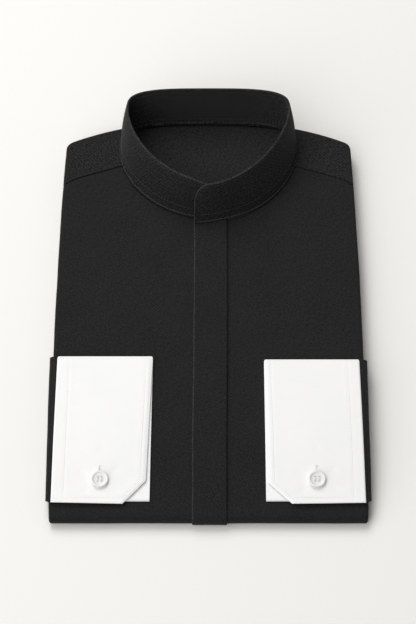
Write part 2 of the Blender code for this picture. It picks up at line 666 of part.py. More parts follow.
def folded_layers(material, group, cutters):
    """Back, tail and folded sides: stacked layers whose edges show as rounded steps."""
    outline = pack_outline(76)
    middle_y = (SHOULDER_TOP_Y + FOLD_Y) / 2.0
    half_length = (SHOULDER_TOP_Y - FOLD_Y) / 2.0
    scallop = np.linspace(0.0, math.pi, 5)
    rows = []
    for layer in range(CORE_LAYERS):
        for angle in scallop[:-1]:
            share = (layer + (1.0 - math.cos(angle)) / 2.0) / CORE_LAYERS
            inset = CORE_INSET + CORE_GROOVE * (1.0 - math.sin(angle))
            rows.append({"share": share, "inset": inset, "top": False})
    rows.append({"share": 1.0, "inset": CORE_INSET + CORE_GROOVE, "top": False})
    rows.append({"share": 1.0, "inset": CORE_SHELF_INSET, "top": False})
    rows.append({"share": 1.0, "inset": CORE_SHELF_INSET, "top": True})

    shelf_depth = 2.0 * HEM_RADIUS + GAP
    rings = []
    for row in rows:
        x = outline[:, 0] * (1.0 - row["inset"] / SHOULDER_CORNER_X)
        y = middle_y + (outline[:, 1] - middle_y) * (1.0 - row["inset"] / half_length)
        y = np.maximum(y, FOLD_Y + 0.8)
        shelf = pack_height(y) - shelf_depth
        crown = pack_height(y) - WALL - GAP
        z = crown if row["top"] else row["share"] * shelf
        rings.append(np.stack([x, y, z], axis=-1))
    points = np.array(rings)
    mesh = capped_rings("folded_layers", points)
    part = add_object("folded_layers", mesh, material, group)

    floor_z = PACK_HEIGHT - 2.0 * WALL - 3.0 * GAP
    pocket_y = INNER_YOKE_FRONT_Y - 0.5
    reach = INNER_YOKE_HALF + 0.5
    fold_y = (-CUT_FAR_Y, FOLD_Y + UNDER_TURN + GAP)
    whole = (-CUT_REACH, CUT_REACH)
    left = (-CUT_REACH, -FOLD_CORNER_X)
    right = (FOLD_CORNER_X, CUT_REACH)
    tall = (CUT_LOW, CUT_HIGH)
    for cutter in (
        block("neck_pocket", (-reach, reach), (pocket_y, CUT_FAR_Y), (floor_z, CUT_HIGH), cutters),
        block("fold_recess", whole, fold_y, (CUT_LOW, WALL + GAP), cutters),
        block("fold_corner_left", left, fold_y, tall, cutters),
        block("fold_corner_right", right, fold_y, tall, cutters),
        sleeve_recess(CUFFS[0], cutters),
        sleeve_recess(CUFFS[1], cutters),
        tail_step(cutters),
    ):
        difference(part, cutter)
    return part


def block(name, x, y, z, cutters):
    """Box cutter between two corners."""
    low = np.array([x[0], y[0] - ORIGIN_Y, z[0]])
    high = np.array([x[1], y[1] - ORIGIN_Y, z[1]])
    cutter = box_cutter(name, high - low, cutters)
    cutter.location = (low + high) / 2.0 * MM
    return cutter


def sleeve_recess(row, cutters):
    """Recess under the pack where a sleeve lies."""
    x = sorted((row["sign"] * (SLEEVE_UNDER_X - GAP), row["sign"] * CUT_REACH))
    lower_edge = row["fold_y"] + SLEEVE_SLANT * (PACK_HEIGHT + GAP + SLEEVE_WALL)
    y = (FOLD_Y + UNDER_TURN - 1.0, lower_edge)
    return block("sleeve_recess_" + row["side"], x, y, (CUT_LOW, SLEEVE_WALL + GAP), cutters)


def tail_step(cutters):
    """Shallow step beyond the folded tail's curved hem, cut into the underside."""
    x = np.linspace(-CUT_REACH, CUT_REACH, 27)
    hem = TAIL_HEM_Y - TAIL_HEM_RISE * smooth(np.abs(x) / TAIL_HEM_HALF)
    far = np.full(x.shape, CUT_FAR_Y)
    plan_x = np.concatenate([x, x[::-1]])
    plan_y = np.concatenate([hem, far])
    levels = [np.stack([plan_x, plan_y, np.full(plan_x.shape, z)], axis=-1) for z in (CUT_LOW, TAIL_STEP)]
    return as_cutter("tail_step", capped_rings("tail_step", np.array(levels)), cutters)


def capped_rings(name, rings):
    """Closed mesh of stacked anticlockwise rings with a face at each end."""
    levels, count = rings.shape[:2]
    index = np.arange(levels * count).reshape(levels, count)
    following = np.roll(index, -1, axis=1)
    corners = [index[:-1], following[:-1], following[1:], index[1:]]
    quads = np.stack([corner.ravel() for corner in corners], axis=1).tolist()
    quads.append(index[0, ::-1].tolist())
    quads.append(index[-1].tolist())
    placed = (rings.reshape(-1, 3) - (0.0, ORIGIN_Y, 0.0)) * MM
    mesh = bpy.data.meshes.new(name)
    mesh.from_pydata(placed.tolist(), [], quads)
    mesh.validate()
    return mesh


def main():
    """Build every sub-part of the folded shirt."""
    for item in list(bpy.data.objects):
        bpy.data.objects.remove(item, do_unlink=True)
    group = collection_named("clergy_shirt")
    cutters = collection_named("cutters")

    front("front_left", -1, CENTRE_EDGE_LEFT, material_named("front_left_cloth", BLACK, 0.85, 0.2), group)
    front("front_right", 1, CENTRE_EDGE_RIGHT, material_named("front_right_cloth", BLACK, 0.85, 0.2), group)
    placket(material_named("placket_cloth", BLACK, 0.85, 0.2), group)
    yoke(material_named("yoke_cloth", BLACK, 0.85, 0.2), group)
    inner_yoke(material_named("yoke_inner_cloth", BLACK, 0.85, 0.2), group)
    collar_band(material_named("collar_band_cloth", BLACK, 0.8, 0.25), group)
    folded_layers(material_named("folded_layers_cloth", BLACK, 0.85, 0.2), group, cutters)
    for row in CUFFS:
        side = row["side"]
        cuff(row, material_named(f"cuff_{side}_cloth", WHITE, 0.8, 0.1), group, cutters)
        sleeve(row, material_named(f"sleeve_{side}_cloth", BLACK_LIGHT, 0.85, 0.2), group)
        button(row, material_named(f"button_{side}_pearl", PEARL, 0.35), group, cutters)


main()
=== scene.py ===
"""Folded clergy shirt: black twill body with a standing neckband, and buttoned white cuffs.

Lengths are millimetres until a mesh is made. X runs to the right and Y from the bottom fold to
the neckband, seen from above, and Z is up; left and right in names are as seen in that view. Each
piece of cloth is a surface worked out on a grid, laid on or moved out from the outer surface of
the folded pack.
"""
import math

import bmesh
import bpy
import numpy as np
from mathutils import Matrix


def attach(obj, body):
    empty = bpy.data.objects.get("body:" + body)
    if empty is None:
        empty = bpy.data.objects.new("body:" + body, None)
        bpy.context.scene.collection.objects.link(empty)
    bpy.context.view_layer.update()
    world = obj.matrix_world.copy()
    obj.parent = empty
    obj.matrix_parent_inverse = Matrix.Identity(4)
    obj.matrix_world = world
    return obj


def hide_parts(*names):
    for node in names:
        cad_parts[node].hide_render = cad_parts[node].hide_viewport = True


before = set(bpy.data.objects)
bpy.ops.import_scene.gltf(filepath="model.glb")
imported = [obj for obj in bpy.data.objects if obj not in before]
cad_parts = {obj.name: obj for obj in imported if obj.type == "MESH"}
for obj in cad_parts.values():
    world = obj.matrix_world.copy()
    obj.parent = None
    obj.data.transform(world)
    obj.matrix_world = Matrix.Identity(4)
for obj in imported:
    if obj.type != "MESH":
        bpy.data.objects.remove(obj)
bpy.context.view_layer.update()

MM = 0.001
ORIGIN_Y = 5.6               # pattern Y of the model's origin

# The folded pack
PACK_HEIGHT = 16.0
FOLD_HEIGHT = 10.0
FOLD_Y = -167.3
DROP_START_Y = -100.0
UNDER_TURN = 4.7
SIDE_TABLE = (
    {"y": -175.0, "half": 119.9},
    {"y": -160.0, "half": 120.4},
    {"y": -33.0, "half": 120.3},
    {"y": 11.0, "half": 119.7},
    {"y": 55.0, "half": 118.9},
    {"y": 110.0, "half": 117.2},
    {"y": 160.0, "half": 115.0},
)
SHOULDER_TOP_Y = 175.5
SHOULDER_FALL = 21.5
SHOULDER_POWER = 2.4
SHOULDER_CORNER_X = 115.0
GAP = 0.3
PLY = 0.9                    # thickness shown by one pressed and seamed layer of cloth
HEM_RADIUS = 2.2
HEM_TURN = 5.0

# Front edges and the concealed placket
CENTRE_EDGE = {-1: -12.3, 1: 12.4}
PLACKET_LEFT = -11.4
PLACKET_RIGHT = 14.8
PLACKET_TOP_Y = 82.9
PLACKET_LIFT = 1.5
PLACKET_PLY = 0.5
PLACKET_STITCH = 2.0         # stitch row in from the right edge
PLACKET_SEAM_DIP = 0.12
PLACKET_THINS = 14.0         # stretch above the bottom fold over which the strip loses half its lift
EDGE_ROUND = 0.55            # rounding of a pressed edge

# Yoke seam
SEAM_X = 69.8
SEAM_SIDE_Y = 112.0          # where the seam meets the side
SEAM_Y = 132.6
SEAM_SLOPE = 0.32
SEAM_HOOK = 4.6
SEAM_HOOK_POWER = 12

# Neckband
BAND_WALL = 1.8
BAND_HEIGHT = 35.0
BAND_BULGE = 1.0
BAND_FOOT = 0.75
BASE = {"half": 71.25, "y": 147.0, "front": 62.8, "left_power": 1.9, "right_power": 1.9,
        "back": 27.0, "back_power": 3.6}
RIM = {"half": 65.5, "y": 165.0, "front": 67.3, "left_power": 1.72, "right_power": 1.65,
       "back": 20.0, "back_power": 3.5}
BASE_LAP = 3.2
RIM_LAP = 2.8
BASE_DIP = 4.0               # the lapping end's foot slants forward by this much more
DIP_START = 0.96
DIP_TURNS = 0.068
LEDGE = 2.0
LAPPED_END = {"x": 10.0, "corner_length": 30.0, "corner_height": 14.0}
LAPPING_END = {"x": -11.3, "corner_length": 13.4, "corner_height": 18.0}
NECK_GIRTH = 410.0
RIM_STITCH = {1: 2.1, -1: 4.2}    # stitch rows below the rim, on the outer and the inner face
BASE_STITCH = {1: 7.6, -1: 4.6}   # stitch rows above the base seam
BASE_BEAD = 0.9              # height of the rolled edge that turns in at the base seam
BEAD_PAINTED_HIGHLIGHT = 0.42             # half height of the painted highlight along that rolled edge
END_PAINTED_HIGHLIGHT_WIDTH = 0.55            # width of the painted highlight along the pressed edge at each front end of the neckband

# Cuffs
CUFF_WALL = 1.4
CUFF_PLY_GAP = 0.4
CUFF_PLY_SLACK = 0.45        # a ply's cloth is this much thinner than its solid
CUFFS = (
    {"side": "left", "sign": -1, "fold_y": -39.6, "end_y": -159.9, "under_y": -157.3, "skew": 1.1,
     "sleeve_top": 116.6, "sleeve_end": 118.6, "wrist_top": 42.8, "wrist_end": 47.9,
     "under_wrist_end": 44.4, "mitre_x": 16.8, "mitre_y": 18.3},
    {"side": "right", "sign": 1, "fold_y": -42.3, "end_y": -159.9, "under_y": -157.3, "skew": 0.7,
     "sleeve_top": 116.6, "sleeve_end": 118.5, "wrist_top": 42.9, "wrist_end": 45.3,
     "under_wrist_end": 43.5, "mitre_x": 17.6, "mitre_y": 16.9},
)
CUFF_CORNER = 2.5
CUFF_STITCH = {"sleeve": 9.2, "wrist": 4.8, "end": 4.6}    # rows in from each edge
CUFF_SEWING = {"length": 2.0, "gap": 0.5, "thread": 0.24}
BUTTON_X = 81.9
BUTTON_Y = -140.9
BUTTON_DIAMETER = 13.4
BUTTON_THICKNESS = 2.3
BUTTON_WELL = 0.78           # depth of the button's middle below its rim
THREAD_HOLE = 1.5
THREAD_HOLE_OFFSET = 1.45
SLIT_LENGTH = 13.0
SLIT_BACK = 2.6
SLIT_WIDTH = 0.62
WHIP_STITCHES = 34           # on each side of the buttonhole

# Sleeves
SLEEVE_WALL = 2.4            # both plies of the folded sleeve
SLEEVE_PLY = 1.4
SLEEVE_X = 122.9
SLEEVE_END_Y = -158.2
SLEEVE_SLANT = 0.45          # the ends slant, so that the lower edge lies further up by this share
SLEEVE_CORNER = 3.6
SLEEVE_UNDER_X = 110.0
SLEEVE_END_ROUND = 1.4
SLEEVE_UPPER_EDGE = CUFFS[1]["fold_y"] + SLEEVE_SLANT * (PACK_HEIGHT + GAP + SLEEVE_WALL)

# Hidden layers
CORE_LAYERS = 3
CORE_INSET = 1.6
CORE_GROOVE = 1.5
CORE_SHELF_INSET = 8.4
TAIL_STEP = 0.9
TAIL_HEM_Y = 132.0
TAIL_HEM_RISE = 34.0
TAIL_HEM_HALF = 118.0
TAIL_HEM_STITCH = 5.0        # stitch row in from the hem
LAYER_FRONT_Y = FOLD_Y + 0.8     # the hidden layers end just inside the bottom fold
INNER_YOKE_HALF = 99.0
INNER_YOKE_FRONT_Y = 72.0
INNER_YOKE_BACK = 3.6

# Thread
STITCH_LENGTH = 2.3
STITCH_GAP = 0.55
THREAD = 0.32

# Camera, fitted to the photo's perspective
CAMERA_ELEVATION = 63.0
CAMERA_DISTANCE = 1.738
CAMERA_LENS = 128.2
CAMERA_SHIFT = -0.00064

# Soft troughs pressed into the fronts: place, heading in degrees, length, width and depth
FRONT_CREASES = (
    {"x": -62.0, "y": 60.0, "heading": 78.0, "length": 70.0, "width": 9.0, "depth": 0.35},
    {"x": -96.0, "y": 10.0, "heading": 95.0, "length": 90.0, "width": 12.0, "depth": 0.40},
    {"x": -30.0, "y": -60.0, "heading": 84.0, "length": 60.0, "width": 7.0, "depth": 0.25},
    {"x": -70.0, "y": -20.0, "heading": 4.0, "length": 80.0, "width": 10.0, "depth": 0.22},
    {"x": 54.0, "y": 40.0, "heading": 98.0, "length": 85.0, "width": 10.0, "depth": 0.30},
    {"x": 92.0, "y": -4.0, "heading": 88.0, "length": 60.0, "width": 11.0, "depth": 0.38},
    {"x": 33.0, "y": -92.0, "heading": 76.0, "length": 54.0, "width": 8.0, "depth": 0.22},
    {"x": 70.0, "y": -30.0, "heading": -5.0, "length": 66.0, "width": 12.0, "depth": 0.24},
    {"x": -84.0, "y": 104.0, "heading": 35.0, "length": 40.0, "width": 8.0, "depth": 0.28},
    {"x": 88.0, "y": 98.0, "heading": 148.0, "length": 44.0, "width": 9.0, "depth": 0.25},
)
# Dimples pulled by the cuff's button and buttonhole, from the button's centre
CUFF_DIMPLES = (
    {"x": -13.0, "y": 5.0, "heading": 152.0, "length": 15.0, "width": 2.6, "depth": 0.30},
    {"x": 12.0, "y": 8.0, "heading": 38.0, "length": 14.0, "width": 2.4, "depth": 0.26},
    {"x": -11.0, "y": -9.0, "heading": 38.0, "length": 12.0, "width": 2.2, "depth": 0.24},
    {"x": 13.0, "y": -7.0, "heading": 150.0, "length": 13.0, "width": 2.4, "depth": 0.22},
    {"x": 1.0, "y": 24.0, "heading": 88.0, "length": 16.0, "width": 2.8, "depth": 0.18},
)


# Curves and surfaces of the folded pack

def smooth(value):
    """Ease from 0 to 1 with level ends: 3 v squared less 2 v cubed."""
    held = np.clip(value, 0.0, 1.0)
    return held * held * (3.0 - 2.0 * held)


def wander(value, seed):
    """Slow uneven wave about 0, the sum of four sines of unlike lengths, for edges that are not ruled."""
    draw = np.random.default_rng(seed)
    total = np.zeros_like(np.asarray(value, float))
    for wavelength in (93.0, 47.0, 29.0, 15.0):
        phase = draw.uniform(0.0, 2.0 * math.pi)
        total = total + wavelength / 93.0 * np.sin(2.0 * math.pi * value / wavelength + phase)
    return total / 1.9


def half_width(y):
    """Half width of the pack at y, read from SIDE_TABLE."""
    stations = [row["y"] for row in SIDE_TABLE]
    widths = [row["half"] for row in SIDE_TABLE]
    return np.interp(y, stations, widths)


def shoulder_line(x):
    """Top edge of the pack: a power curve that falls from the neck to the sleeve corner."""
    share = np.abs(x) / SHOULDER_CORNER_X
    return SHOULDER_TOP_Y - SHOULDER_FALL * share ** SHOULDER_POWER


def yoke_seam(x):
    """Front yoke seam: a straight fall outward with a quick hook at the side."""
    out = np.abs(x) - SEAM_X
    reach = half_width(SEAM_SIDE_Y) - SEAM_X
    hook = SEAM_HOOK * np.clip(out / reach, 0.0, 1.0) ** SEAM_HOOK_POWER
    return SEAM_Y - SEAM_SLOPE * out - hook


def pack_height(y):
    """Height of the top face, which slopes down to the bottom fold."""
    share = smooth((DROP_START_Y - y) / (DROP_START_Y - FOLD_Y))
    return PACK_HEIGHT - (PACK_HEIGHT - FOLD_HEIGHT) * share


def pack_surface(x, station, lift):
    """Points on the pack's outer surface, moved out along its normal by lift.

    Station is a length from the start of the bottom fold: positive on the top face, negative
    round the fold's half circle and then along the underside.
    """
    x, station, lift = np.broadcast_arrays(x, station, lift)
    radius = FOLD_HEIGHT / 2.0
    turn = np.clip(-station / radius, 0.0, math.pi)
    beyond = np.clip(-station - math.pi * radius, 0.0, None)
    face_y = FOLD_Y + np.clip(station, 0.0, None)
    step = 0.5
    slope = (pack_height(face_y + step) - pack_height(face_y - step)) / (2.0 * step)
    on_top = station > 0.0
    normal_y = np.where(on_top, -slope, -np.sin(turn))
    normal_z = np.where(on_top, 1.0, np.cos(turn))
    size = np.hypot(normal_y, normal_z)
    y = face_y - radius * np.sin(turn) + beyond
    z = np.where(on_top, pack_height(face_y), radius + radius * np.cos(turn))
    return np.stack([x, y + lift * normal_y / size, z + lift * normal_z / size], axis=-1)


def surface_path(x, station, lift):
    """Points on the pack's surface at that lift, and its normal there."""
    path = pack_surface(x, station, lift)
    return path, pack_surface(x, station, lift + 1.0) - path


def station_of(y):
    """Station of a point on the top face."""
    return y - FOLD_Y


def quarter(half, depth, power, count):
    """Quarter of a superellipse from its tip on Y to its side on X, evenly spaced by length."""
    angle = np.linspace(0.0, math.pi / 2.0, 1441)
    x = half * np.sin(angle) ** (2.0 / power)
    y = depth * np.cos(angle) ** (2.0 / power)
    length = np.concatenate([[0.0], np.cumsum(np.hypot(np.diff(x), np.diff(y)))])
    even = np.linspace(0.0, length[-1], count)
    return np.interp(even, length, x), np.interp(even, length, y)


def neck_ring(shape, turns, lap=0.0, dip=0.0, inset=0.0):
    """Points of a neck curve at turns, 0 at the front centre, then the left side, back and right.

    Each quarter is a superellipse; lap deepens the front towards the lapping right end, and dip
    slants that end forward.
    """
    samples = 721
    half = shape["half"] - inset
    front = shape["front"] - inset + lap * smooth((turns - 0.25) / 0.5)
    wrapped = np.mod(turns, 1.0)
    folded = np.where(wrapped > 0.5, 1.0 - wrapped, wrapped) * 4.0
    side = np.where(wrapped > 0.5, 1.0, -1.0)
    place = np.linspace(0.0, 1.0, samples)
    reach = shape["front"] - inset
    left_x, left_y = quarter(half, reach, shape["left_power"], samples)
    right_x, right_y = quarter(half, reach, shape["right_power"], samples)
    back_x, back_y = quarter(half, shape["back"] - inset, shape["back_power"], samples)
    in_front = folded <= 1.0
    near = np.clip(folded, 0.0, 1.0)
    far = np.clip(2.0 - folded, 0.0, 1.0)
    left = side < 0.0
    front_x = np.where(left, np.interp(near, place, left_x), np.interp(near, place, right_x))
    front_y = np.where(left, np.interp(near, place, left_y), np.interp(near, place, right_y))
    x = np.where(in_front, front_x, np.interp(far, place, back_x))
    slant = dip * np.clip((turns - DIP_START) / DIP_TURNS, 0.0, 1.0) ** 2
    y_front = -front_y * front / reach - slant
    y_back = np.interp(far, place, back_y)
    return side * x, shape["y"] + np.where(in_front, y_front, y_back)


def neckline(x):
    """Front edge of the neck opening, just inside the band's outer face."""
    half = BASE["half"] - LEDGE
    power = BASE["left_power"]
    inside = np.clip(1.0 - (np.abs(x) / half) ** power, 0.0, None)
    return BASE["y"] - (BASE["front"] - LEDGE) * inside ** (1.0 / power)


def evenly(points, count, turn_weight=0.0):
    """Resample a polyline by its length, with more points where it turns."""
    steps = np.diff(points, axis=0)
    lengths = np.hypot(steps[:, 0], steps[:, 1])
    heading = np.unwrap(np.arctan2(steps[:, 1], steps[:, 0]))
    turning = np.abs(np.gradient(heading))
    measure = np.concatenate([[0.0], np.cumsum(lengths + turn_weight * turning)])
    marks = np.linspace(0.0, measure[-1], count)
    return np.stack([np.interp(marks, measure, points[:, axis]) for axis in (0, 1)], axis=1)


def round_corners(points, reach, closed):
    """Round a dense polyline's corners with a moving average over reach points."""
    kernel = np.ones(reach) / reach
    if closed:
        padded = np.concatenate([points[-reach:], points, points[:reach]])
    else:
        padded = np.concatenate([np.repeat(points[:1], reach, 0), points, np.repeat(points[-1:], reach, 0)])
    rounded = [np.convolve(padded[:, axis], kernel, "same")[reach:-reach] for axis in (0, 1)]
    result = np.stack(rounded, axis=1)
    if not closed:
        result[0] = points[0]
        result[-1] = points[-1]
    return result


def shoulder_outline():
    """Right half of the pack's top edge, from the yoke seam at the side to the back centre."""
    seam_y = yoke_seam(half_width(SEAM_SIDE_Y) - HEM_RADIUS)
    side_y = np.linspace(seam_y, shoulder_line(SHOULDER_CORNER_X), 60)
    side = np.stack([half_width(side_y), side_y], axis=1)
    top_x = np.linspace(SHOULDER_CORNER_X, 0.0, 160)
    top = np.stack([top_x, shoulder_line(top_x)], axis=1)
    return round_corners(np.concatenate([side, top[1:]]), 15, closed=False)


def pressed(x, y, table):
    """Sum of soft troughs: each is a Gaussian across its line and a cosine bell along it."""
    total = np.zeros(np.broadcast(x, y).shape)
    for row in table:
        heading = math.radians(row["heading"])
        along = (x - row["x"]) * math.cos(heading) + (y - row["y"]) * math.sin(heading)
        across = -(x - row["x"]) * math.sin(heading) + (y - row["y"]) * math.cos(heading)
        bell = np.cos(np.clip(along / row["length"], -0.5, 0.5) * math.pi) ** 2
        total = total - row["depth"] * bell * np.exp(-(across / row["width"]) ** 2)
    return total


def hairpin(radius, turn, steps):
    """Profile of a folded edge: how far in from the edge, and how deep, from the top face on."""
    angle = np.linspace(0.0, math.pi, steps)
    across = np.concatenate([radius - radius * np.sin(angle), radius + turn * np.linspace(0.3, 1.0, 3)])
    depth = np.concatenate([radius - radius * np.cos(angle), np.full(3, 2.0 * radius)])
    return across, depth


# Mesh makers

def grid_quads(rows, columns, wrap_rows=False, wrap_columns=False):
    """Corner indices of every quad of a grid, joined back on itself where it wraps."""
    index = np.arange(rows * columns).reshape(rows, columns)
    if wrap_rows:
        index = np.concatenate([index, index[:1]], axis=0)
    if wrap_columns:
        index = np.concatenate([index, index[:, :1]], axis=1)
    corners = [index[:-1, :-1], index[:-1, 1:], index[1:, 1:], index[1:, :-1]]
    return np.stack([corner.ravel() for corner in corners], axis=1)


def lengths_along(points, axis):
    """Length in metres along a grid's rows or columns, averaged, as a texture coordinate."""
    steps = np.linalg.norm(np.diff(points, axis=axis), axis=-1)
    zero = np.zeros_like(np.take(steps, [0], axis=axis))
    return np.concatenate([zero, np.cumsum(steps, axis=axis)], axis=axis) * MM


def in_metres(points):
    """Pattern points in millimetres as places about the model's origin, in metres."""
    return (points - (0.0, ORIGIN_Y, 0.0)) * MM


def add_object(name, data):
    """New object for that data, linked into the scene."""
    item = bpy.data.objects.new(name, data)
    bpy.context.scene.collection.objects.link(item)
    return item


def mesh_piece(name, points, quads, material, uv=None, flip=False, triangles=None):
    """Object at the origin from points in millimetres, with a weave map in metres."""
    parts = [quads] if triangles is None else [quads, triangles]
    if flip:
        parts = [part[:, ::-1] for part in parts]
    placed = in_metres(points.reshape(-1, 3))
    mesh = bpy.data.meshes.new(name)
    mesh.from_pydata(placed.tolist(), [], [face for part in parts for face in part.tolist()])
    if uv is not None:
        layer = mesh.uv_layers.new(name="weave")
        corners = np.concatenate([part.ravel() for part in parts])
        layer.data.foreach_set("uv", uv.reshape(-1, 2)[corners].astype(np.float32).ravel())
    mesh.materials.append(material)
    mesh.shade_smooth()
    return add_object(name, mesh)


def sheet_piece(name, points, material, uv=None, wall=PLY, flip=False):
    """Cloth from a grid of its outer face, thickened inward."""
    rows, columns = points.shape[:2]
    if uv is None:
        uv = np.stack([lengths_along(points, 1), lengths_along(points, 0)], axis=-1)
    piece = mesh_piece(name, points, grid_quads(rows, columns), material, uv, flip)
    solidify = piece.modifiers.new("Wall", "SOLIDIFY")
    solidify.thickness = wall * MM
    solidify.offset = -1.0
    solidify.use_quality_normals = True
    return piece


def paint(piece, indices, *names):
    """More materials on a piece, and the index of each face's own; faces past the table take the last."""
    for name in names:
        piece.data.materials.append(MATERIALS[name])
    table = np.full(len(piece.data.polygons), len(names), np.int32)
    table[:indices.size] = indices.ravel()
    piece.data.polygons.foreach_set("material_index", table)


def flat_weave(points):
    """Weave coordinates taken straight from X and Y, for cloth that lies nearly flat."""
    return np.stack([points[..., 0], points[..., 1]], axis=-1) * MM


def settle(piece, slot, *nodes):
    """Ride a piece on the body and hide the model parts it stands in for."""
    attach(piece, "root")
    if nodes:
        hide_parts(*nodes)
    return piece


def unit(vectors):
    """Vectors scaled to a length of 1."""
    return vectors / np.linalg.norm(vectors, axis=-1, keepdims=True)


def tubes(name, centre, up, side, girth, flow, material, corners=6):
    """Closed tubes, one for each row of centre points: a ring of corners round each point.

    Up and side point across a tube, girth is its radius and flow the length along it.
    """
    total, rings = centre.shape[:2]
    girth = np.broadcast_to(girth, (total, rings))[..., None]
    angle = np.arange(corners) * 2.0 * math.pi / corners
    ring = up[:, :, None] * np.sin(angle)[:, None] + side[:, :, None] * np.cos(angle)[:, None]
    points = centre[:, :, None] + girth[..., None] * ring
    turn = np.arange(corners // 2 - 1)
    cap = np.stack([corners - 1 - turn, corners - 2 - turn, 1 + turn, turn], axis=1)
    tube = grid_quads(rings, corners, wrap_columns=True)
    tube = np.concatenate([tube, cap, cap[:, ::-1] + (rings - 1) * corners])
    quads = (tube + (np.arange(total) * rings * corners)[:, None, None]).reshape(-1, 4)
    flow = np.broadcast_to(flow, (total, rings))[..., None]
    uv = np.stack(np.broadcast_arrays(flow, angle * girth.max()), axis=-1) * MM
    return mesh_piece(name, points, quads, material, uv, flip=True)


def stitch_row(name, path, normal, material, length=STITCH_LENGTH, gap=STITCH_GAP, thread=THREAD, seed=1):
    """Row of separate stitches along a path that lies on the cloth.

    Each stitch is a tube of five rings: it rises out of the cloth, runs along it and dives back,
    thinner at both ends.
    """
    steps = np.linalg.norm(np.diff(path, axis=0), axis=1)
    run = np.concatenate([[0.0], np.cumsum(steps)])
    pitch = length + gap
    count = max(int((run[-1] - gap) / pitch), 1)
    draw = np.random.default_rng(seed)
    start = gap / 2.0 + np.arange(count) * (run[-1] / count) + draw.uniform(-0.08, 0.08, count)
    share = np.array([0.0, 0.12, 0.5, 0.88, 1.0])
    height = np.array([-0.30, 0.22, 0.42, 0.22, -0.30]) * thread
    girth = np.array([0.55, 0.95, 1.0, 0.95, 0.55]) * thread / 2.0
    marks = start[:, None] + share * length
    centre = np.stack([np.interp(marks, run, path[:, axis]) for axis in range(3)], axis=-1)
    up = np.stack([np.interp(marks, run, normal[:, axis]) for axis in range(3)], axis=-1)
    up = unit(up)
    side = unit(np.cross(unit(centre[:, -1:] - centre[:, :1]), up))
    sway = draw.uniform(-0.06, 0.06, count)[:, None, None]
    centre = centre + up * height[:, None] + side * sway
    return tubes(name, centre, up, side, girth, marks, material)


# Materials

PER_METRE = (1000.0, 1000.0, 1000.0)    # millimetres in a metre, along each axis
WAVE_UNIT = 0.31416          # scale of a wave texture whose bands are one unit apart
DARK_YARN = (0.0133, 0.0128, 0.0129)
LIGHT_YARN = (0.0133, 0.0130, 0.0131)
LINT = (0.05, 0.048, 0.047, 1.0)


def new_material(name):
    """Empty material with its shader."""
    material = bpy.data.materials.new(name)
    material.use_nodes = True
    return material, material.node_tree, material.node_tree.nodes["Principled BSDF"]


def set_sockets(made, values):
    """Fixed values of a node's sockets, by name."""
    for name, value in values.items():
        made.inputs[name].default_value = value


def link(tree, source, target):
    """Join two sockets."""
    tree.links.new(source, target)


def node(tree, kind, **values):
    """Shader node with its properties and sockets set by name."""
    made = tree.nodes.new(kind)
    for key, value in values.items():
        if key in made.inputs:
            made.inputs[key].default_value = value
        else:
            setattr(made, key, value)
    return made


def scaled(tree, vector, scale, turn=0.0):
    """Vector times a scale along each axis, then turned about Z."""
    mapping = node(tree, "ShaderNodeMapping")
    set_sockets(mapping, {"Scale": scale, "Rotation": (0.0, 0.0, math.radians(turn))})
    link(tree, vector, mapping.inputs["Vector"])
    return mapping.outputs["Vector"]


def weave_coordinates(tree, turn=0.0):
    """Weave map in millimetres, turned in the plane of the cloth."""
    uv = node(tree, "ShaderNodeUVMap", uv_map="weave")
    return scaled(tree, uv.outputs["UV"], PER_METRE, turn)


def ridges(tree, vector, period, distortion=0.0, detail=0.0):
    """Parallel ridges of that period in millimetres across the vector's X."""
    wave = node(tree, "ShaderNodeTexWave", wave_type="BANDS", bands_direction="X", wave_profile="SIN")
    set_sockets(wave, {"Scale": WAVE_UNIT / period, "Distortion": distortion,
                       "Detail": detail, "Detail Scale": 1.5})
    link(tree, vector, wave.inputs["Vector"])
    return wave.outputs["Fac"]


def speckle(tree, vector, size, detail=2.0, stretch=(1.0, 1.0, 1.0)):
    """Noise whose patches are about size millimetres, stretched by factors along each axis."""
    noise = node(tree, "ShaderNodeTexNoise", noise_dimensions="3D")
    set_sockets(noise, {"Scale": 1.0, "Detail": detail, "Roughness": 0.55})
    link(tree, scaled(tree, vector, tuple(factor / size for factor in stretch)), noise.inputs["Vector"])
    return noise.outputs["Fac"]


def weigh(tree, terms, offset=0.0):
    """Weighted sum of sockets, plus an offset."""
    total = None
    for socket, weight in terms:
        product = node(tree, "ShaderNodeMath", operation="MULTIPLY_ADD")
        link(tree, socket, product.inputs[0])
        product.inputs[1].default_value = weight
        if total is None:
            product.inputs[2].default_value = offset
        else:
            link(tree, total, product.inputs[2])
        total = product.outputs[0]
    return total


def ramp(tree, socket, stops):
    """Colour ramp with stops of place and colour."""
    made = node(tree, "ShaderNodeValToRGB")
    elements = made.color_ramp.elements
    while len(elements) < len(stops):
        elements.new(0.5)
    for element, (place, colour) in zip(elements, stops):
        element.position = place
        element.color = (*colour, 1.0)
    link(tree, socket, made.inputs["Fac"])
    return made.outputs["Color"]


def bump(tree, shader, socket, strength, distance):
    """Relief of a socket's height, distance in millimetres."""
    made = node(tree, "ShaderNodeBump")
    set_sockets(made, {"Strength": strength, "Distance": distance * MM})
    link(tree, socket, made.inputs["Height"])
    link(tree, made.outputs["Normal"], shader.inputs["Normal"])


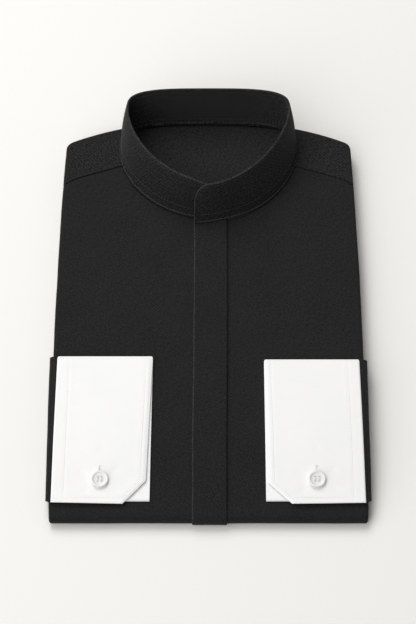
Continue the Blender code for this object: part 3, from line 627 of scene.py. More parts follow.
def twill(name, shade, turn=-45.0, sheen=0.15, grain=1.0):
    """Black polyester-cotton twill: broken slanting wales in both yarns, slubs, mottling and a little lint.

    Each wale is a wave whose crests noise breaks into short dashes, so that no line runs far.
    """
    material, tree, shader = new_material(name)
    flat = weave_coordinates(tree)
    wale = ridges(tree, weave_coordinates(tree, turn), 1.8, distortion=1.8, detail=2.0)
    cross = ridges(tree, weave_coordinates(tree, turn + 90.0), 1.95, distortion=2.1, detail=2.0)
    fine_wale = ridges(tree, weave_coordinates(tree, turn), 0.5, distortion=0.35, detail=1.0)
    pick = ridges(tree, weave_coordinates(tree, 90.0), 0.36)
    yarn = speckle(tree, flat, 1.15, detail=1.0)
    heather = speckle(tree, weave_coordinates(tree, turn), 1.9, detail=1.0, stretch=(1.5, 0.7, 1.0))
    slub = speckle(tree, flat, 3.0, detail=2.0, stretch=(4.0, 0.35, 1.0))
    cloud = speckle(tree, flat, 30.0, detail=2.0)
    lint = speckle(tree, flat, 1.1, detail=5.0, stretch=(1.0, 2.6, 1.0))
    coarse = tuple((socket, weight * grain) for socket, weight in (
        (wale, 0.42), (cross, 0.38), (yarn, 2.6), (heather, 1.9)))
    middle = 0.5 * sum(weight for _, weight in coarse)
    tone = weigh(tree, ((fine_wale, 0.06), (pick, 0.04), (slub, 0.20), (cloud, 0.22)), 0.24 - middle)
    tone = weigh(tree, coarse + ((tone, 1.0),))
    dark = tuple(0.06 * value * shade for value in DARK_YARN)
    light = tuple(2.10 * value * shade for value in LIGHT_YARN)
    cloth = ramp(tree, tone, ((0.05, dark), (0.95, light)))
    flecks = ramp(tree, lint, ((0.735, (0.0, 0.0, 0.0)), (0.775, (1.0, 1.0, 1.0))))
    mix = node(tree, "ShaderNodeMix", data_type="RGBA")
    link(tree, weigh(tree, ((flecks, 0.25),)), mix.inputs["Factor"])
    link(tree, cloth, mix.inputs["A"])
    mix.inputs["B"].default_value = LINT
    link(tree, mix.outputs["Result"], shader.inputs["Base Color"])
    rough = weigh(tree, ((cloud, 0.10), (fine_wale, -0.08)), 0.80)
    link(tree, rough, shader.inputs["Roughness"])
    set_sockets(shader, {"Specular IOR Level": 0.13, "Sheen Weight": sheen, "Sheen Roughness": 0.45,
                         "Sheen Tint": (0.30, 0.29, 0.295, 1.0)})
    height = weigh(tree, ((wale, 0.20), (fine_wale, 0.45), (pick, 0.18), (yarn, 0.40), (heather, 0.25),
                          (slub, 0.25)))
    bump(tree, shader, height, 0.7, 0.18)
    return material


def white_cotton(name):
    """Pressed white cotton: fine plain weave with slight yarn unevenness."""
    material, tree, shader = new_material(name)
    flat = weave_coordinates(tree)
    warp = ridges(tree, flat, 0.42, distortion=0.2, detail=1.0)
    weft = ridges(tree, weave_coordinates(tree, 90.0), 0.46, distortion=0.2, detail=1.0)
    yarn = speckle(tree, flat, 0.5, detail=3.0)
    cloud = speckle(tree, flat, 26.0, detail=2.0)
    tone = weigh(tree, ((warp, 0.22), (weft, 0.22), (yarn, 0.3), (cloud, 0.26)))
    shades = ((0.25, (0.890, 0.891, 0.894)), (0.75, (0.945, 0.945, 0.946)))
    link(tree, ramp(tree, tone, shades), shader.inputs["Base Color"])
    set_sockets(shader, {"Roughness": 0.82, "Specular IOR Level": 0.25, "Sheen Weight": 0.12,
                         "Sheen Roughness": 0.5})
    height = weigh(tree, ((warp, 0.4), (weft, 0.4), (yarn, 0.3)))
    bump(tree, shader, height, 0.5, 0.09)
    return material


def sewing_thread(name, colour, shine):
    """Twisted thread: slanting plies along each stitch."""
    material, tree, shader = new_material(name)
    twist = ridges(tree, weave_coordinates(tree, 40.0), 0.22)
    dark = tuple(0.7 * value for value in colour)
    link(tree, ramp(tree, twist, ((0.1, dark), (0.8, colour))), shader.inputs["Base Color"])
    set_sockets(shader, {"Roughness": shine, "Sheen Weight": 0.2})
    bump(tree, shader, twist, 0.6, 0.05)
    return material


def pearl(name):
    """White moulded button: soft cloudy swirl under a smooth glossy face."""
    material, tree, shader = new_material(name)
    place = scaled(tree, node(tree, "ShaderNodeTexCoord").outputs["Object"], PER_METRE)
    swirl = speckle(tree, place, 3.6, detail=4.0, stretch=(1.0, 0.45, 1.0))
    grain = speckle(tree, place, 0.5)
    tone = weigh(tree, ((swirl, 0.8), (grain, 0.2)))
    shades = ((0.3, (0.76, 0.76, 0.75)), (0.55, (0.82, 0.82, 0.812)), (0.75, (0.785, 0.787, 0.783)))
    link(tree, ramp(tree, tone, shades), shader.inputs["Base Color"])
    link(tree, weigh(tree, ((grain, 0.08), (swirl, 0.10)), 0.30), shader.inputs["Roughness"])
    set_sockets(shader, {"Coat Weight": 0.15, "Coat Roughness": 0.2})
    bump(tree, shader, grain, 0.2, 0.03)
    return material


MATERIALS = {
    "body": twill("body_twill", 1.0, grain=0.27),
    "placket": twill("placket_twill", 1.0, grain=0.28),
    # painted sheen: the yoke's twill is made a little lighter than the body's
    "yoke": twill("yoke_twill", 1.08, turn=-38.0, grain=0.55),
    # painted light: a lighter copy of the twill lifts the shaded floor inside the neck
    "inner": twill("inner_yoke_painted_light", 1.3, grain=0.40),
    "band": twill("band_twill", 0.98, turn=-40.0, sheen=0.22, grain=0.60),
    # painted light: a lighter copy of the twill lifts the band's shaded inner face
    "lining": twill("band_lining_painted_light", 1.6, turn=-50.0, sheen=0.2, grain=0.8),
    # painted highlight: a brighter copy of the twill for pressed edges, the rim and the base bead
    "edge": twill("band_edge_painted_highlight", 2.0, turn=-40.0, sheen=0.3, grain=0.3),
    "sleeve": twill("sleeve_twill", 1.1, grain=0.38),
    "cotton": white_cotton("cuff_cotton"),
    "black_thread": sewing_thread("black_thread", (0.021, 0.020, 0.020), 0.6),
    "dark_thread": sewing_thread("dark_thread", (0.006, 0.006, 0.006), 0.7),
    "white_thread": sewing_thread("white_thread", (0.88, 0.88, 0.885), 0.6),
    "pearl": pearl("button_pearl"),
}


# Pieces

def seam_start():
    """X where the yoke seam meets the neck edge."""
    dense = np.linspace(SEAM_X - 4.0, BASE["half"] - LEDGE - 0.01, 400)
    return dense[np.argmin(np.abs(neckline(dense) - yoke_seam(dense)))]


def front_panel(side, sign):
    """Front: a grid over the pack's top face, a hairpin along its side and the bottom fold.

    The top row follows the neck edge and the yoke seam, where the cloth dips under the seam;
    soft troughs and slow waves are taken off the surface along its normal.
    """
    side_top = half_width(SEAM_SIDE_Y) - HEM_RADIUS
    dense = np.linspace(CENTRE_EDGE[sign], side_top, 2400)
    edge = np.minimum(neckline(dense), yoke_seam(dense)) - 0.15
    outline = evenly(np.stack([dense, edge], axis=1), 96, turn_weight=10.0)
    across, depth = hairpin(HEM_RADIUS, HEM_TURN, 12)
    top_x = np.concatenate([outline[:, 0], half_width(SEAM_SIDE_Y) - across[1:]])
    top_y = np.concatenate([outline[:, 1], np.full(across.size - 1, outline[-1, 1])])
    depths = np.concatenate([np.zeros(len(outline)), depth[1:]])

    level = station_of(DROP_START_Y)
    near_seam = np.array([0.0, 0.4, 0.8, 1.3, 1.7, 2.0, 2.25, 2.5, 2.75, 3.0, 3.3, 3.7, 4.3])
    share = np.linspace(0.0, 1.0, 78)[1:]
    first = station_of(top_y)
    from_seam = first - near_seam[:, None]
    upper = from_seam[-1] + (level - from_seam[-1]) * share[:, None]
    half_turn = math.pi * FOLD_HEIGHT / 2.0
    lower = np.concatenate([
        np.linspace(level, 0.0, 30)[1:], -np.linspace(0.0, half_turn, 14)[1:],
        -half_turn - np.array([1.5, 3.0, UNDER_TURN])])
    stations = np.concatenate([from_seam, upper, np.broadcast_to(lower[:, None], (lower.size, top_y.size))])

    y = pack_surface(0.0, stations, 0.0)[..., 1]
    flat_share = np.clip((top_x - CENTRE_EDGE[sign]) / (side_top - CENTRE_EDGE[sign]), 0.0, 1.0)
    x = top_x + (half_width(y) - half_width(SEAM_SIDE_Y) + 0.18 * wander(y, 3 + sign)) * flat_share
    dip = 0.55 * np.exp(-((first - stations) / 0.9) ** 2) * (top_x > seam_start())
    on_top = smooth(stations / 8.0)
    waves = 0.10 * np.sin(x / 17.0 + y / 41.0) * np.sin(y / 26.0 - x / 60.0)
    reach = np.where(sign * x > 0.0, BASE["front"] + 0.5 * BASE_LAP, BASE["front"])
    power = BASE["left_power"]
    ring = np.abs(x / BASE["half"]) ** power + np.clip((BASE["y"] - y) / reach, 0.0, None) ** power
    ring = ring ** (1.0 / power)
    from_band = (ring - 1.0) * BASE["half"]
    crease = 0.8 * np.exp(-((from_band - 0.35) / 0.5) ** 2) * (y < BASE["y"])
    relief = (pressed(sign * x, y, FRONT_CREASES) + waves) * on_top - dip - crease
    thread_wave = 0.12 * wander(sign * x + 40.0, 17) * smooth(-stations / 4.0)
    points = pack_surface(sign * x, stations, relief + thread_wave * (depths == 0.0) - depths)
    weave = np.stack(np.broadcast_arrays(sign * (x + depths), stations), axis=-1) * MM
    piece = sheet_piece("front_" + side + "_cloth", points, MATERIALS["body"], weave, flip=sign > 0)
    return settle(piece, "body_cloth", "front_" + side)


def strip_profile(left, right, lift, columns):
    """Cross-section of a strip laid on the fronts: up its rounded left edge, over and down its right."""
    angle = np.linspace(0.0, math.pi / 2.0, 5)
    rise_x = left + EDGE_ROUND - EDGE_ROUND * np.cos(angle)
    rise_z = lift - EDGE_ROUND + EDGE_ROUND * np.sin(angle)
    fall_x = right - EDGE_ROUND + EDGE_ROUND * np.sin(angle)
    fall_z = lift - EDGE_ROUND + EDGE_ROUND * np.cos(angle)
    middle = np.linspace(left + EDGE_ROUND, right - EDGE_ROUND, columns)[1:-1]
    x = np.concatenate([[left + 0.25], rise_x, middle, fall_x, [right - 0.05]])
    z = np.concatenate([[0.35], rise_z, np.full(middle.size, lift), fall_z, [0.35]])
    return x, z


def placket_strip():
    """Concealed placket: a strip profile carried from under the neckband round the bottom fold."""
    x, lift = strip_profile(PLACKET_LEFT, PLACKET_RIGHT, PLACKET_LIFT, 26)
    face = np.linspace(station_of(PLACKET_TOP_Y), 0.0, 170)
    fold = -np.linspace(0.0, math.radians(125.0) * FOLD_HEIGHT / 2.0, 12)[1:]
    stations = np.concatenate([face, fold])[:, None]
    stray = 0.16 * wander(stations, 29)
    edge_shift = np.array([[0.35, -0.2], [-0.55, -1.3]])
    down = smooth((station_of(10.0) - stations) / 140.0)
    ends = edge_shift[0] + (edge_shift[1] - edge_shift[0]) * down
    across = (x[None, :] - PLACKET_LEFT) / (PLACKET_RIGHT - PLACKET_LEFT)
    stray = stray + ends[:, :1] + (ends[:, 1:] - ends[:, :1]) * across
    row_x = PLACKET_RIGHT - PLACKET_STITCH
    seam_dip = PLACKET_SEAM_DIP * np.exp(-((x - row_x) / 0.6) ** 2)
    hidden_buttons = 0.10 * np.sin(stations / 13.0) * np.exp(-((x - 2.0) / 8.0) ** 2)
    relief = lift - seam_dip * (lift > 1.0) + hidden_buttons * (lift > 1.2)
    thinning = 1.0 - 0.5 * smooth((PLACKET_THINS - stations) / PLACKET_THINS)
    relief = relief * thinning
    points = pack_surface(x[None, :] + stray, stations, relief)
    weave = np.stack(np.broadcast_arrays(x[None, :], stations), axis=-1) * MM
    piece = sheet_piece("placket_cloth", points, MATERIALS["placket"], weave, wall=PLACKET_PLY)
    # Painted highlight: faces of the rounded left edge take the brighter edge material
    painted_light_faces = np.zeros((stations.size - 1, x.size - 1), np.int32)
    painted_light_faces[:, 2:5] = 1
    paint(piece, painted_light_faces, "edge")
    settle(piece, "placket_cloth", "placket")
    row_lift = (PLACKET_LIFT - PLACKET_SEAM_DIP) * thinning[:, 0]
    row_slide = stray[:, np.argmin(np.abs(x - row_x))]
    path, normal = surface_path(row_x + row_slide, stations[:, 0], row_lift)
    row = stitch_row("placket_stitches", path, normal, MATERIALS["black_thread"], seed=5)
    return piece, [settle(row, "placket_cloth")]


def yoke_ring():
    """Yoke: rays from the neck edge out to the shoulder line, round its hairpin and under.

    Towards each front seam the rays bend to follow it, and the last of them roll the cloth up a
    little and over the front.
    """
    rays = 130
    outer_half = evenly(shoulder_outline(), rays, turn_weight=14.0)
    turns = np.linspace(0.5, 1.0, 4000)
    ring_x, ring_y = neck_ring(BASE, turns, inset=LEDGE)
    start = seam_start()
    kept = ring_y >= yoke_seam(start)
    inner_half = evenly(np.stack([ring_x[kept], ring_y[kept]], axis=1)[::-1], rays, turn_weight=10.0)
    mirrored = np.array([-1.0, 1.0])
    outer = np.concatenate([outer_half, (outer_half * mirrored)[-2::-1]])
    inner = np.concatenate([inner_half, (inner_half * mirrored)[-2::-1]])
    tangent = np.gradient(outer, axis=0)
    normal = np.stack([tangent[:, 1], -tangent[:, 0]], axis=1)
    normal = unit(normal)
    normal[0] = (1.0, 0.0)
    normal[-1] = (-1.0, 0.0)

    across, depth = hairpin(HEM_RADIUS, HEM_TURN, 12)
    share = np.linspace(0.0, 1.0, 40)[:-1]
    edge = outer - normal * HEM_RADIUS
    flat = inner[:, None] + (edge - inner)[:, None] * share[None, :, None]
    from_end = np.minimum(np.arange(len(outer)), np.arange(len(outer))[::-1])
    pull = (np.clip(1.0 - from_end / 30.0, 0.0, 1.0) ** 1.5)[:, None]
    ends = yoke_seam(flat[[0, -1], :, 0]) - flat[[0, -1], :, 1]
    flat[..., 1] += pull * np.where(flat[..., 0] > 0.0, ends[0], ends[1])
    bent = outer[:, None] - normal[:, None] * across[None, :, None]
    plan = np.concatenate([flat, bent], axis=1)
    depths = np.broadcast_to(np.concatenate([np.zeros(share.size), depth]), plan.shape[:2])

    hem = np.array([0.0, 0.12, 0.35, 0.7, 1.2, 2.0, 3.2])
    for number, offset in enumerate(hem):
        for row in (number, -1 - number):
            plan[row, :share.size, 1] = yoke_seam(plan[row, :share.size, 0]) + offset
    before = plan[..., 1] - yoke_seam(np.clip(np.abs(plan[..., 0]), start, None))
    roll = 0.45 * np.exp(-((before - 0.9) / 1.1) ** 2) - 0.8 * np.exp(-(before / 0.22) ** 2)
    roll = roll * (depths < 0.1) * (np.abs(plan[..., 0]) > start - 1.0)
    soft = 0.22 * np.sin(plan[..., 0] / 9.0 + 1.0) * np.sin(plan[..., 1] / 7.0) * (depths < 0.1)
    z = PACK_HEIGHT - depths + roll + soft * smooth((before - 3.0) / 6.0) * 0.6
    stray = 0.15 * wander(np.cumsum(np.linalg.norm(tangent, axis=1)), 41)[:, None] * (depths > 0.0)
    plan = plan + normal[:, None] * stray[..., None]
    points = np.concatenate([plan, z[..., None]], axis=-1)
    piece = sheet_piece("yoke_cloth", points, MATERIALS["yoke"], flat_weave(points))
    return settle(piece, "yoke_cloth", "yoke")


def yoke_floor():
    """Inner yoke: a level grid under the neck with slow waves and a soft centre rise."""
    x = np.linspace(-INNER_YOKE_HALF, INNER_YOKE_HALF, 140)
    top = shoulder_line(x) - INNER_YOKE_BACK
    share = np.linspace(0.0, 1.0, 80)[:, None]
    y = INNER_YOKE_FRONT_Y + (top - INNER_YOKE_FRONT_Y) * share
    relief = 0.10 * np.sin(x / 13.0 + y / 19.0) + 0.06 * np.sin(y / 8.0 - x / 31.0)
    z = PACK_HEIGHT - PLY - 0.75 + relief
    points = np.stack([np.broadcast_to(x, y.shape), y, z], axis=-1)
    piece = sheet_piece("yoke_inner_cloth", points, MATERIALS["inner"], flat_weave(points))
    return settle(piece, "yoke_cloth", "yoke_inner")


def end_turn(x_end, turns):
    """Turn at which the base curve reaches x_end."""
    ring_x, _ = neck_ring(BASE, turns, BASE_LAP, BASE_DIP)
    return turns[np.argmin(np.abs(ring_x - x_end))]


def band_turns(columns):
    """Turns of the neckband's columns, closer together at its two rounded ends."""
    start = end_turn(LAPPED_END["x"], np.linspace(-0.12, 0.0, 2400))
    finish = end_turn(LAPPING_END["x"], np.linspace(1.0, 1.12, 2400))
    corner = 1.0 - np.cos(np.linspace(0.0, math.pi / 2.0, 26))
    near = start + corner * LAPPED_END["corner_length"] / NECK_GIRTH
    far = finish - corner[::-1] * LAPPING_END["corner_length"] / NECK_GIRTH
    return np.concatenate([near, np.linspace(near[-1], far[0], columns)[1:-1], far])


def band_face(turns, up, outward):
    """Points on the neckband: between its base and rim curves, bulging a little halfway.

    Up is 0 at the base seam and 1 at the rim; outward moves a point off the outer face.
    """
    base_x, base_y = neck_ring(BASE, turns, BASE_LAP, BASE_DIP)
    rim_x, rim_y = neck_ring(RIM, turns, RIM_LAP)
    step = 0.0004
    ahead = np.stack(neck_ring(BASE, turns + step, BASE_LAP, BASE_DIP))
    behind = np.stack(neck_ring(BASE, turns - step, BASE_LAP, BASE_DIP))
    tangent = ahead - behind
    tangent = tangent / np.hypot(tangent[0], tangent[1])
    out = np.stack([tangent[1], -tangent[0]])
    kernel = np.ones(9) / 9.0
    for axis in (0, 1):
        padded = np.pad(out[axis], 4, mode="edge")
        out[axis] = np.convolve(padded, kernel, "valid")
    out = -out / np.hypot(out[0], out[1])
    on_placket = smooth((turns - 0.9) / 0.04)
    foot = GAP + BAND_FOOT + (GAP + 1.2) * on_placket
    bulge = BAND_BULGE * np.sin(math.pi * np.clip(up, 0.0, 1.0)) + outward
    x = base_x + (rim_x - base_x) * up + out[0] * bulge
    y = base_y + (rim_y - base_y) * up + out[1] * bulge
    z = PACK_HEIGHT + foot + (BAND_HEIGHT - foot) * up
    return np.stack([x, y, z], axis=-1)


def band_top(turns):
    """Share of the band's height that stands at each turn, less at its rounded ends."""
    cut = 0.0
    for end, from_end in ((LAPPED_END, turns - turns[0]), (LAPPING_END, turns[-1] - turns)):
        short = np.clip(1.0 - from_end * NECK_GIRTH / end["corner_length"], 0.0, 1.0)
        cut = cut + end["corner_height"] * (1.0 - np.sqrt(1.0 - short ** 2))
    return 1.0 - cut / BAND_HEIGHT


def neckband():
    """Neckband: a closed section carried round the neck, its outer and inner plies pressed at the rim.

    The section runs up the outer face, over a half-round rim and down the inner face; stitch rows
    sink into both faces. At each end the two plies close in on each other.
    """
    turns = band_turns(460)
    top = band_top(turns)
    straight = np.concatenate([
        np.linspace(0.0, 0.10, 18)[:-1], np.linspace(0.10, 0.86, 34)[:-1], np.linspace(0.86, 1.0, 22)])
    plain = np.ones(straight.size)
    round_steps = np.linspace(0.0, math.pi, 10)
    rim_share = BAND_WALL / 2.0 / BAND_HEIGHT
    up = np.concatenate([
        straight * (1.0 - rim_share), 1.0 - rim_share + rim_share * np.sin(round_steps)[1:-1],
        straight[::-1] * (1.0 - rim_share)])
    out = np.concatenate([
        0.0 * plain, -BAND_WALL / 2.0 * (1.0 - np.cos(round_steps))[1:-1], -BAND_WALL * plain])
    face = np.concatenate([plain, np.zeros(round_steps.size - 2), -plain])
    up = up[:, None] * top[None, :]
    height = up * BAND_HEIGHT
    below_rim = top * BAND_HEIGHT - height
    rim_row = np.where(face > 0.0, RIM_STITCH[1], RIM_STITCH[-1])[:, None]
    base_row = np.where(face > 0.0, BASE_STITCH[1], BASE_STITCH[-1])[:, None]
    sink = 0.34 * np.exp(-((below_rim - rim_row) / 0.48) ** 2)
    sink = sink + 0.06 * np.exp(-((height - base_row) / 0.6) ** 2)
    sink = sink - 0.85 * np.exp(-((height - BASE_BEAD) / 0.46) ** 2)
    sink = sink + 0.50 * np.exp(-((height - BASE_BEAD - 1.2) / 0.42) ** 2)
    sink = sink + 0.7 * np.exp(-(height / 0.3) ** 2)
    run = turns[None, :] * NECK_GIRTH
    pucker = 0.05 * np.sin(run * 2.0 * math.pi / (STITCH_LENGTH + STITCH_GAP))
    pucker = pucker * np.exp(-((below_rim - 2.4) / 1.6) ** 2)
    slow = 0.16 * wander(run, 53) * np.sin(math.pi * np.clip(up, 0.0, 1.0))
    from_end = np.minimum(turns - turns[0], turns[-1] - turns) * NECK_GIRTH
    closing = np.sqrt(np.clip(1.0 - (1.0 - np.clip(from_end / 0.9, 0.0, 1.0)) ** 2, 0.0, 1.0))
    centre = -BAND_WALL / 2.0
    offset = centre + (out[:, None] - centre) * (0.12 + 0.88 * closing)[None, :]
    offset = offset + face[:, None] * (pucker - sink) + slow
    points = np.stack([band_face(turns, row_up, row_out) for row_up, row_out in zip(up, offset)])
    weave = np.stack(np.broadcast_arrays(run, height + 50.0 * (face[:, None] < 0)), axis=-1) * MM
    quads = grid_quads(*up.shape, wrap_rows=True)
    rows, count = up.shape
    half = rows // 2
    ends = []
    for column in (0, count - 1):
        left = np.arange(half) * count + column
        right = (rows - 1 - np.arange(half)) * count + column
        cap = np.stack([left[:-1], right[:-1], right[1:], left[1:]], axis=1)
        ends.append(cap if column else cap[:, ::-1])
    piece = mesh_piece("collar_band_cloth", points, np.concatenate([quads, *ends]), MATERIALS["band"],
                       weave, flip=True)
    rim_start = straight.size
    # Faces that take painted light: the inner face gets a lighter copy of the twill, and the rim, the base
    # bead and both front ends get a painted highlight
    painted_light_faces = np.zeros((rows - 1, count - 1), np.int32)
    painted_light_faces[rim_start + 4:] = 1
    painted_light_faces[rim_start:rim_start + 4] = 2
    level = straight[:-1] * (1.0 - rim_share) * BAND_HEIGHT
    painted_light_faces[:rim_start - 1][np.abs(level - BASE_BEAD) < BEAD_PAINTED_HIGHLIGHT] = 2
    painted_light_faces[:rim_start - 1, from_end[:-1] < END_PAINTED_HIGHLIGHT_WIDTH] = 2
    paint(piece, painted_light_faces, "lining", "edge")
    settle(piece, "band_cloth", "collar_band")

    inner = turns[(turns > turns[0] + 0.004) & (turns < turns[-1] - 0.004)]
    rim_level = np.interp(inner, turns, top) * BAND_HEIGHT
    plans = (
        {"name": "outer_rim", "side": 1, "level": rim_level - RIM_STITCH[1]},
        {"name": "inner_rim", "side": -1, "level": rim_level - RIM_STITCH[-1]},
        {"name": "outer_base", "side": 1, "level": np.full(inner.size, BASE_STITCH[1])},
        {"name": "inner_base", "side": -1, "level": np.full(inner.size, BASE_STITCH[-1])},
    )
    rows_of_thread = []
    for number, plan in enumerate(plans):
        at_rim = plan["name"].endswith("rim")
        sunk = 0.26 if at_rim else 0.08
        depth = -sunk if plan["side"] > 0 else -BAND_WALL + sunk
        path = band_face(inner, plan["level"] / BAND_HEIGHT, depth)
        beyond = band_face(inner, plan["level"] / BAND_HEIGHT, depth + plan["side"])
        row = stitch_row("band_stitches_" + plan["name"], path, beyond - path,
                         MATERIALS["dark_thread" if at_rim else "black_thread"], seed=60 + number)
        rows_of_thread.append(settle(row, "band_cloth"))
    return piece, rows_of_thread


def cuff_bounds(row, y):
    """Sleeve edge of a cuff at y, and the wrist edges of its upper and under ply."""
    share = (row["fold_y"] - y) / (row["fold_y"] - row["end_y"])
    sleeve = row["sleeve_top"] + (row["sleeve_end"] - row["sleeve_top"]) * share
    wrist = row["wrist_top"] + (row["wrist_end"] - row["wrist_top"]) * share
    under_wrist = row["wrist_top"] + (row["under_wrist_end"] - row["wrist_top"]) * share
    return sleeve, wrist, under_wrist


def cuff_upper_lift():
    """Lift of the upper ply's outer face off the pack."""
    return GAP + 2.0 * CUFF_WALL + CUFF_PLY_GAP


def mitred_wrist(row, y):
    """Wrist edge of the upper ply, cut back along the mitre."""
    wrist = cuff_bounds(row, y)[1]
    return wrist + np.clip((row["end_y"] + row["mitre_y"] - y) / row["mitre_y"], 0.0, 1.0) * row["mitre_x"]


def stitch_distance(row, x, y):
    """Distance from the cuff's stitch rows: along the sleeve edge, wrist edge, mitre and end."""
    sleeve = np.abs(cuff_bounds(row, y)[0] - CUFF_STITCH["sleeve"] - x)
    wrist = np.abs(x - mitred_wrist(row, y) - CUFF_STITCH["wrist"])
    end = np.abs(y - row["end_y"] - CUFF_STITCH["end"])
    inside = (x < cuff_bounds(row, y)[0] - CUFF_STITCH["sleeve"] + 0.5) | (y < row["end_y"] + 8.0)
    return np.minimum(sleeve, np.minimum(np.where(inside, wrist, 9.0), end))


def cuff_cloth(row):
    """Cuff folded in half at its top: the under ply, a half-round fold and the upper ply.

    The grid runs across from sleeve edge to wrist edge. The plies' pressed edges ease down over
    the last half millimetre, stitch rows sink in, and dimples pull towards the button.
    """
    sign = row["sign"]
    radius = CUFF_WALL + CUFF_PLY_GAP / 2.0
    fold_station = station_of(row["fold_y"]) - radius
    under = np.linspace(station_of(row["under_y"]), fold_station, 60)
    angle = np.linspace(-math.pi / 2.0, math.pi / 2.0, 12)[1:-1]
    upper_end = station_of(row["end_y"])
    mitre_start = upper_end + row["mitre_y"]
    upper = np.concatenate([
        np.linspace(fold_station, mitre_start, 108), np.linspace(mitre_start, upper_end + 0.8, 18)[1:],
        upper_end + np.array([0.5, 0.25, 0.08, 0.0])])
    stations = np.concatenate([under, fold_station + radius * np.cos(angle), upper])
    axis_lift = GAP + radius
    lifts = np.concatenate([
        np.full(under.size, GAP), axis_lift + radius * np.sin(angle),
        np.full(upper.size, axis_lift + radius)])
    is_upper = np.arange(stations.size) >= under.size + angle.size
    y = stations + FOLD_Y
    sleeve, _, under_wrist = cuff_bounds(row, y)
    wrist = np.where(is_upper, mitred_wrist(row, y), under_wrist)
    near_fold = np.clip(CUFF_CORNER - (fold_station + radius - stations), 0.0, CUFF_CORNER)
    corner = CUFF_CORNER - np.sqrt(CUFF_CORNER ** 2 - near_fold ** 2)
    sleeve = sleeve - corner
    wrist = wrist + corner
    inner = np.linspace(0.0, 1.0, 76)[1:-1]
    rim = np.array([0.0, 0.08, 0.25, 0.5])
    width = (sleeve - wrist)[:, None]
    x = np.concatenate([
        sleeve[:, None] - rim, sleeve[:, None] - 0.8 - (width - 1.6) * inner,
        wrist[:, None] + rim[::-1]], axis=1)
    from_edge = np.minimum(np.minimum(sleeve[:, None] - x, x - wrist[:, None]), 9.0)
    from_edge = np.minimum(from_edge, np.where(is_upper, stations - upper_end, 9.0)[:, None])
    ease = 0.55 * np.clip(1.0 - from_edge / 0.6, 0.0, 1.0) ** 2
    from_wrist = np.where(is_upper[:, None], x - wrist[:, None], 9.0)
    ease = np.maximum(ease, 0.62 * np.clip(1.0 - from_wrist / 3.2, 0.0, 1.0) ** 1.5)
    from_row = stitch_distance(row, x, y[:, None])
    sink = 0.10 * np.exp(-(from_row / 0.75) ** 2)
    puff = 0.05 * np.exp(-((from_row - 2.2) / 1.3) ** 2)
    dimples = pressed(sign * (x - BUTTON_X), y[:, None] - BUTTON_Y, CUFF_DIMPLES)
    hole = 0.20 * np.exp(-((x - BUTTON_X) / 0.6) ** 2) * smooth((y[:, None] - BUTTON_Y + 1.0) / 2.0)
    hole = hole * smooth((BUTTON_Y - SLIT_BACK + SLIT_LENGTH + 0.8 - y[:, None]) / 2.0)
    slow = 0.16 * np.sin(x / 11.0 + 0.6) * np.sin(y[:, None] / 23.0)
    slow = slow + 0.06 * wander(y[:, None] * 3.0 + x, 71 + sign)
    relief = np.where(is_upper[:, None], puff + dimples + slow - sink - ease - hole, 0.0)
    past_mitre = np.clip((mitre_start - stations) / row["mitre_y"], 0.0, 1.0) * is_upper
    over = np.clip((x - wrist[:, None]) / (sleeve - wrist)[:, None], 0.0, 1.0)
    skewed = stations[:, None] + row["skew"] * past_mitre[:, None] * over
    points = pack_surface(sign * x, skewed, lifts[:, None] + relief)
    run = np.cumsum(np.abs(np.gradient(stations)))
    weave = np.stack(np.broadcast_arrays(x, run[:, None]), axis=-1) * MM
    name = "cuff_" + row["side"]
    piece = sheet_piece(name + "_cloth", points, MATERIALS["cotton"], weave,
                        wall=CUFF_WALL - CUFF_PLY_SLACK, flip=sign < 0)
    return settle(piece, "cuff_cloth", name)


def cuff_stitches(row):
    """Three stitch rows of a cuff, following its sleeve edge, its end and its wrist edge with the mitre."""
    lift = cuff_upper_lift() - 0.10
    top_y = row["fold_y"] - 1.2
    end_y = row["end_y"] + CUFF_STITCH["end"]
    long_y = np.linspace(top_y, end_y, 160)
    sleeve_x = cuff_bounds(row, long_y)[0] - CUFF_STITCH["sleeve"]
    wrist_x = mitred_wrist(row, long_y) + CUFF_STITCH["wrist"]
    end_x = np.linspace(cuff_bounds(row, end_y)[0] - 0.9, wrist_x[-1], 80)
    paths = {"sleeve_edge": (sleeve_x, long_y), "wrist_edge": (wrist_x, long_y),
             "end": (end_x, np.full(end_x.size, end_y))}
    rows = []
    for number, (name, (x, y)) in enumerate(paths.items()):
        path, normal = surface_path(row["sign"] * x, station_of(y), lift)
        made = stitch_row(f"cuff_{row['side']}_stitches_{name}", path, normal, MATERIALS["white_thread"],
                          seed=90 + number, **CUFF_SEWING)
        rows.append(settle(made, "cuff_cloth"))
    return rows


def buttonhole(row):
    """Worked buttonhole: close whip stitches down both sides of the slit, and a bar at each end."""
    low = BUTTON_Y - SLIT_BACK
    whips = np.linspace(low, low + SLIT_LENGTH, WHIP_STITCHES)
    share = np.linspace(0.0, 1.0, 5)
    bar_x = 1.5 * np.linspace(-1.0, 1.0, 5)
    strands = [(side * (SLIT_WIDTH / 2.0 + 1.15 * share), whips,
                0.34 * np.sin(math.pi * (0.22 + 0.73 * share))) for side in (-1.0, 1.0)]
    strands += [(bar_x, end + np.array([-0.35, 0.0, 0.35]), 0.38 * np.cos(bar_x / 1.5 * 1.3))
                for end in (low - 0.3, low + SLIT_LENGTH + 0.3)]
    x, y, arc = (np.concatenate(parts) for parts in zip(*(
        np.broadcast_arrays(x + BUTTON_X, y[:, None], arc) for x, y, arc in strands)))
    lift = cuff_upper_lift() - 0.34 + arc
    centre, up = surface_path(row["sign"] * x, station_of(y), lift)
    side = np.cross(unit(np.gradient(centre, axis=1)), up)
    made = tubes("buttonhole_" + row["side"], centre, up, side, 0.20, share * 1.2, MATERIALS["white_thread"])
    return settle(made, "cuff_cloth")


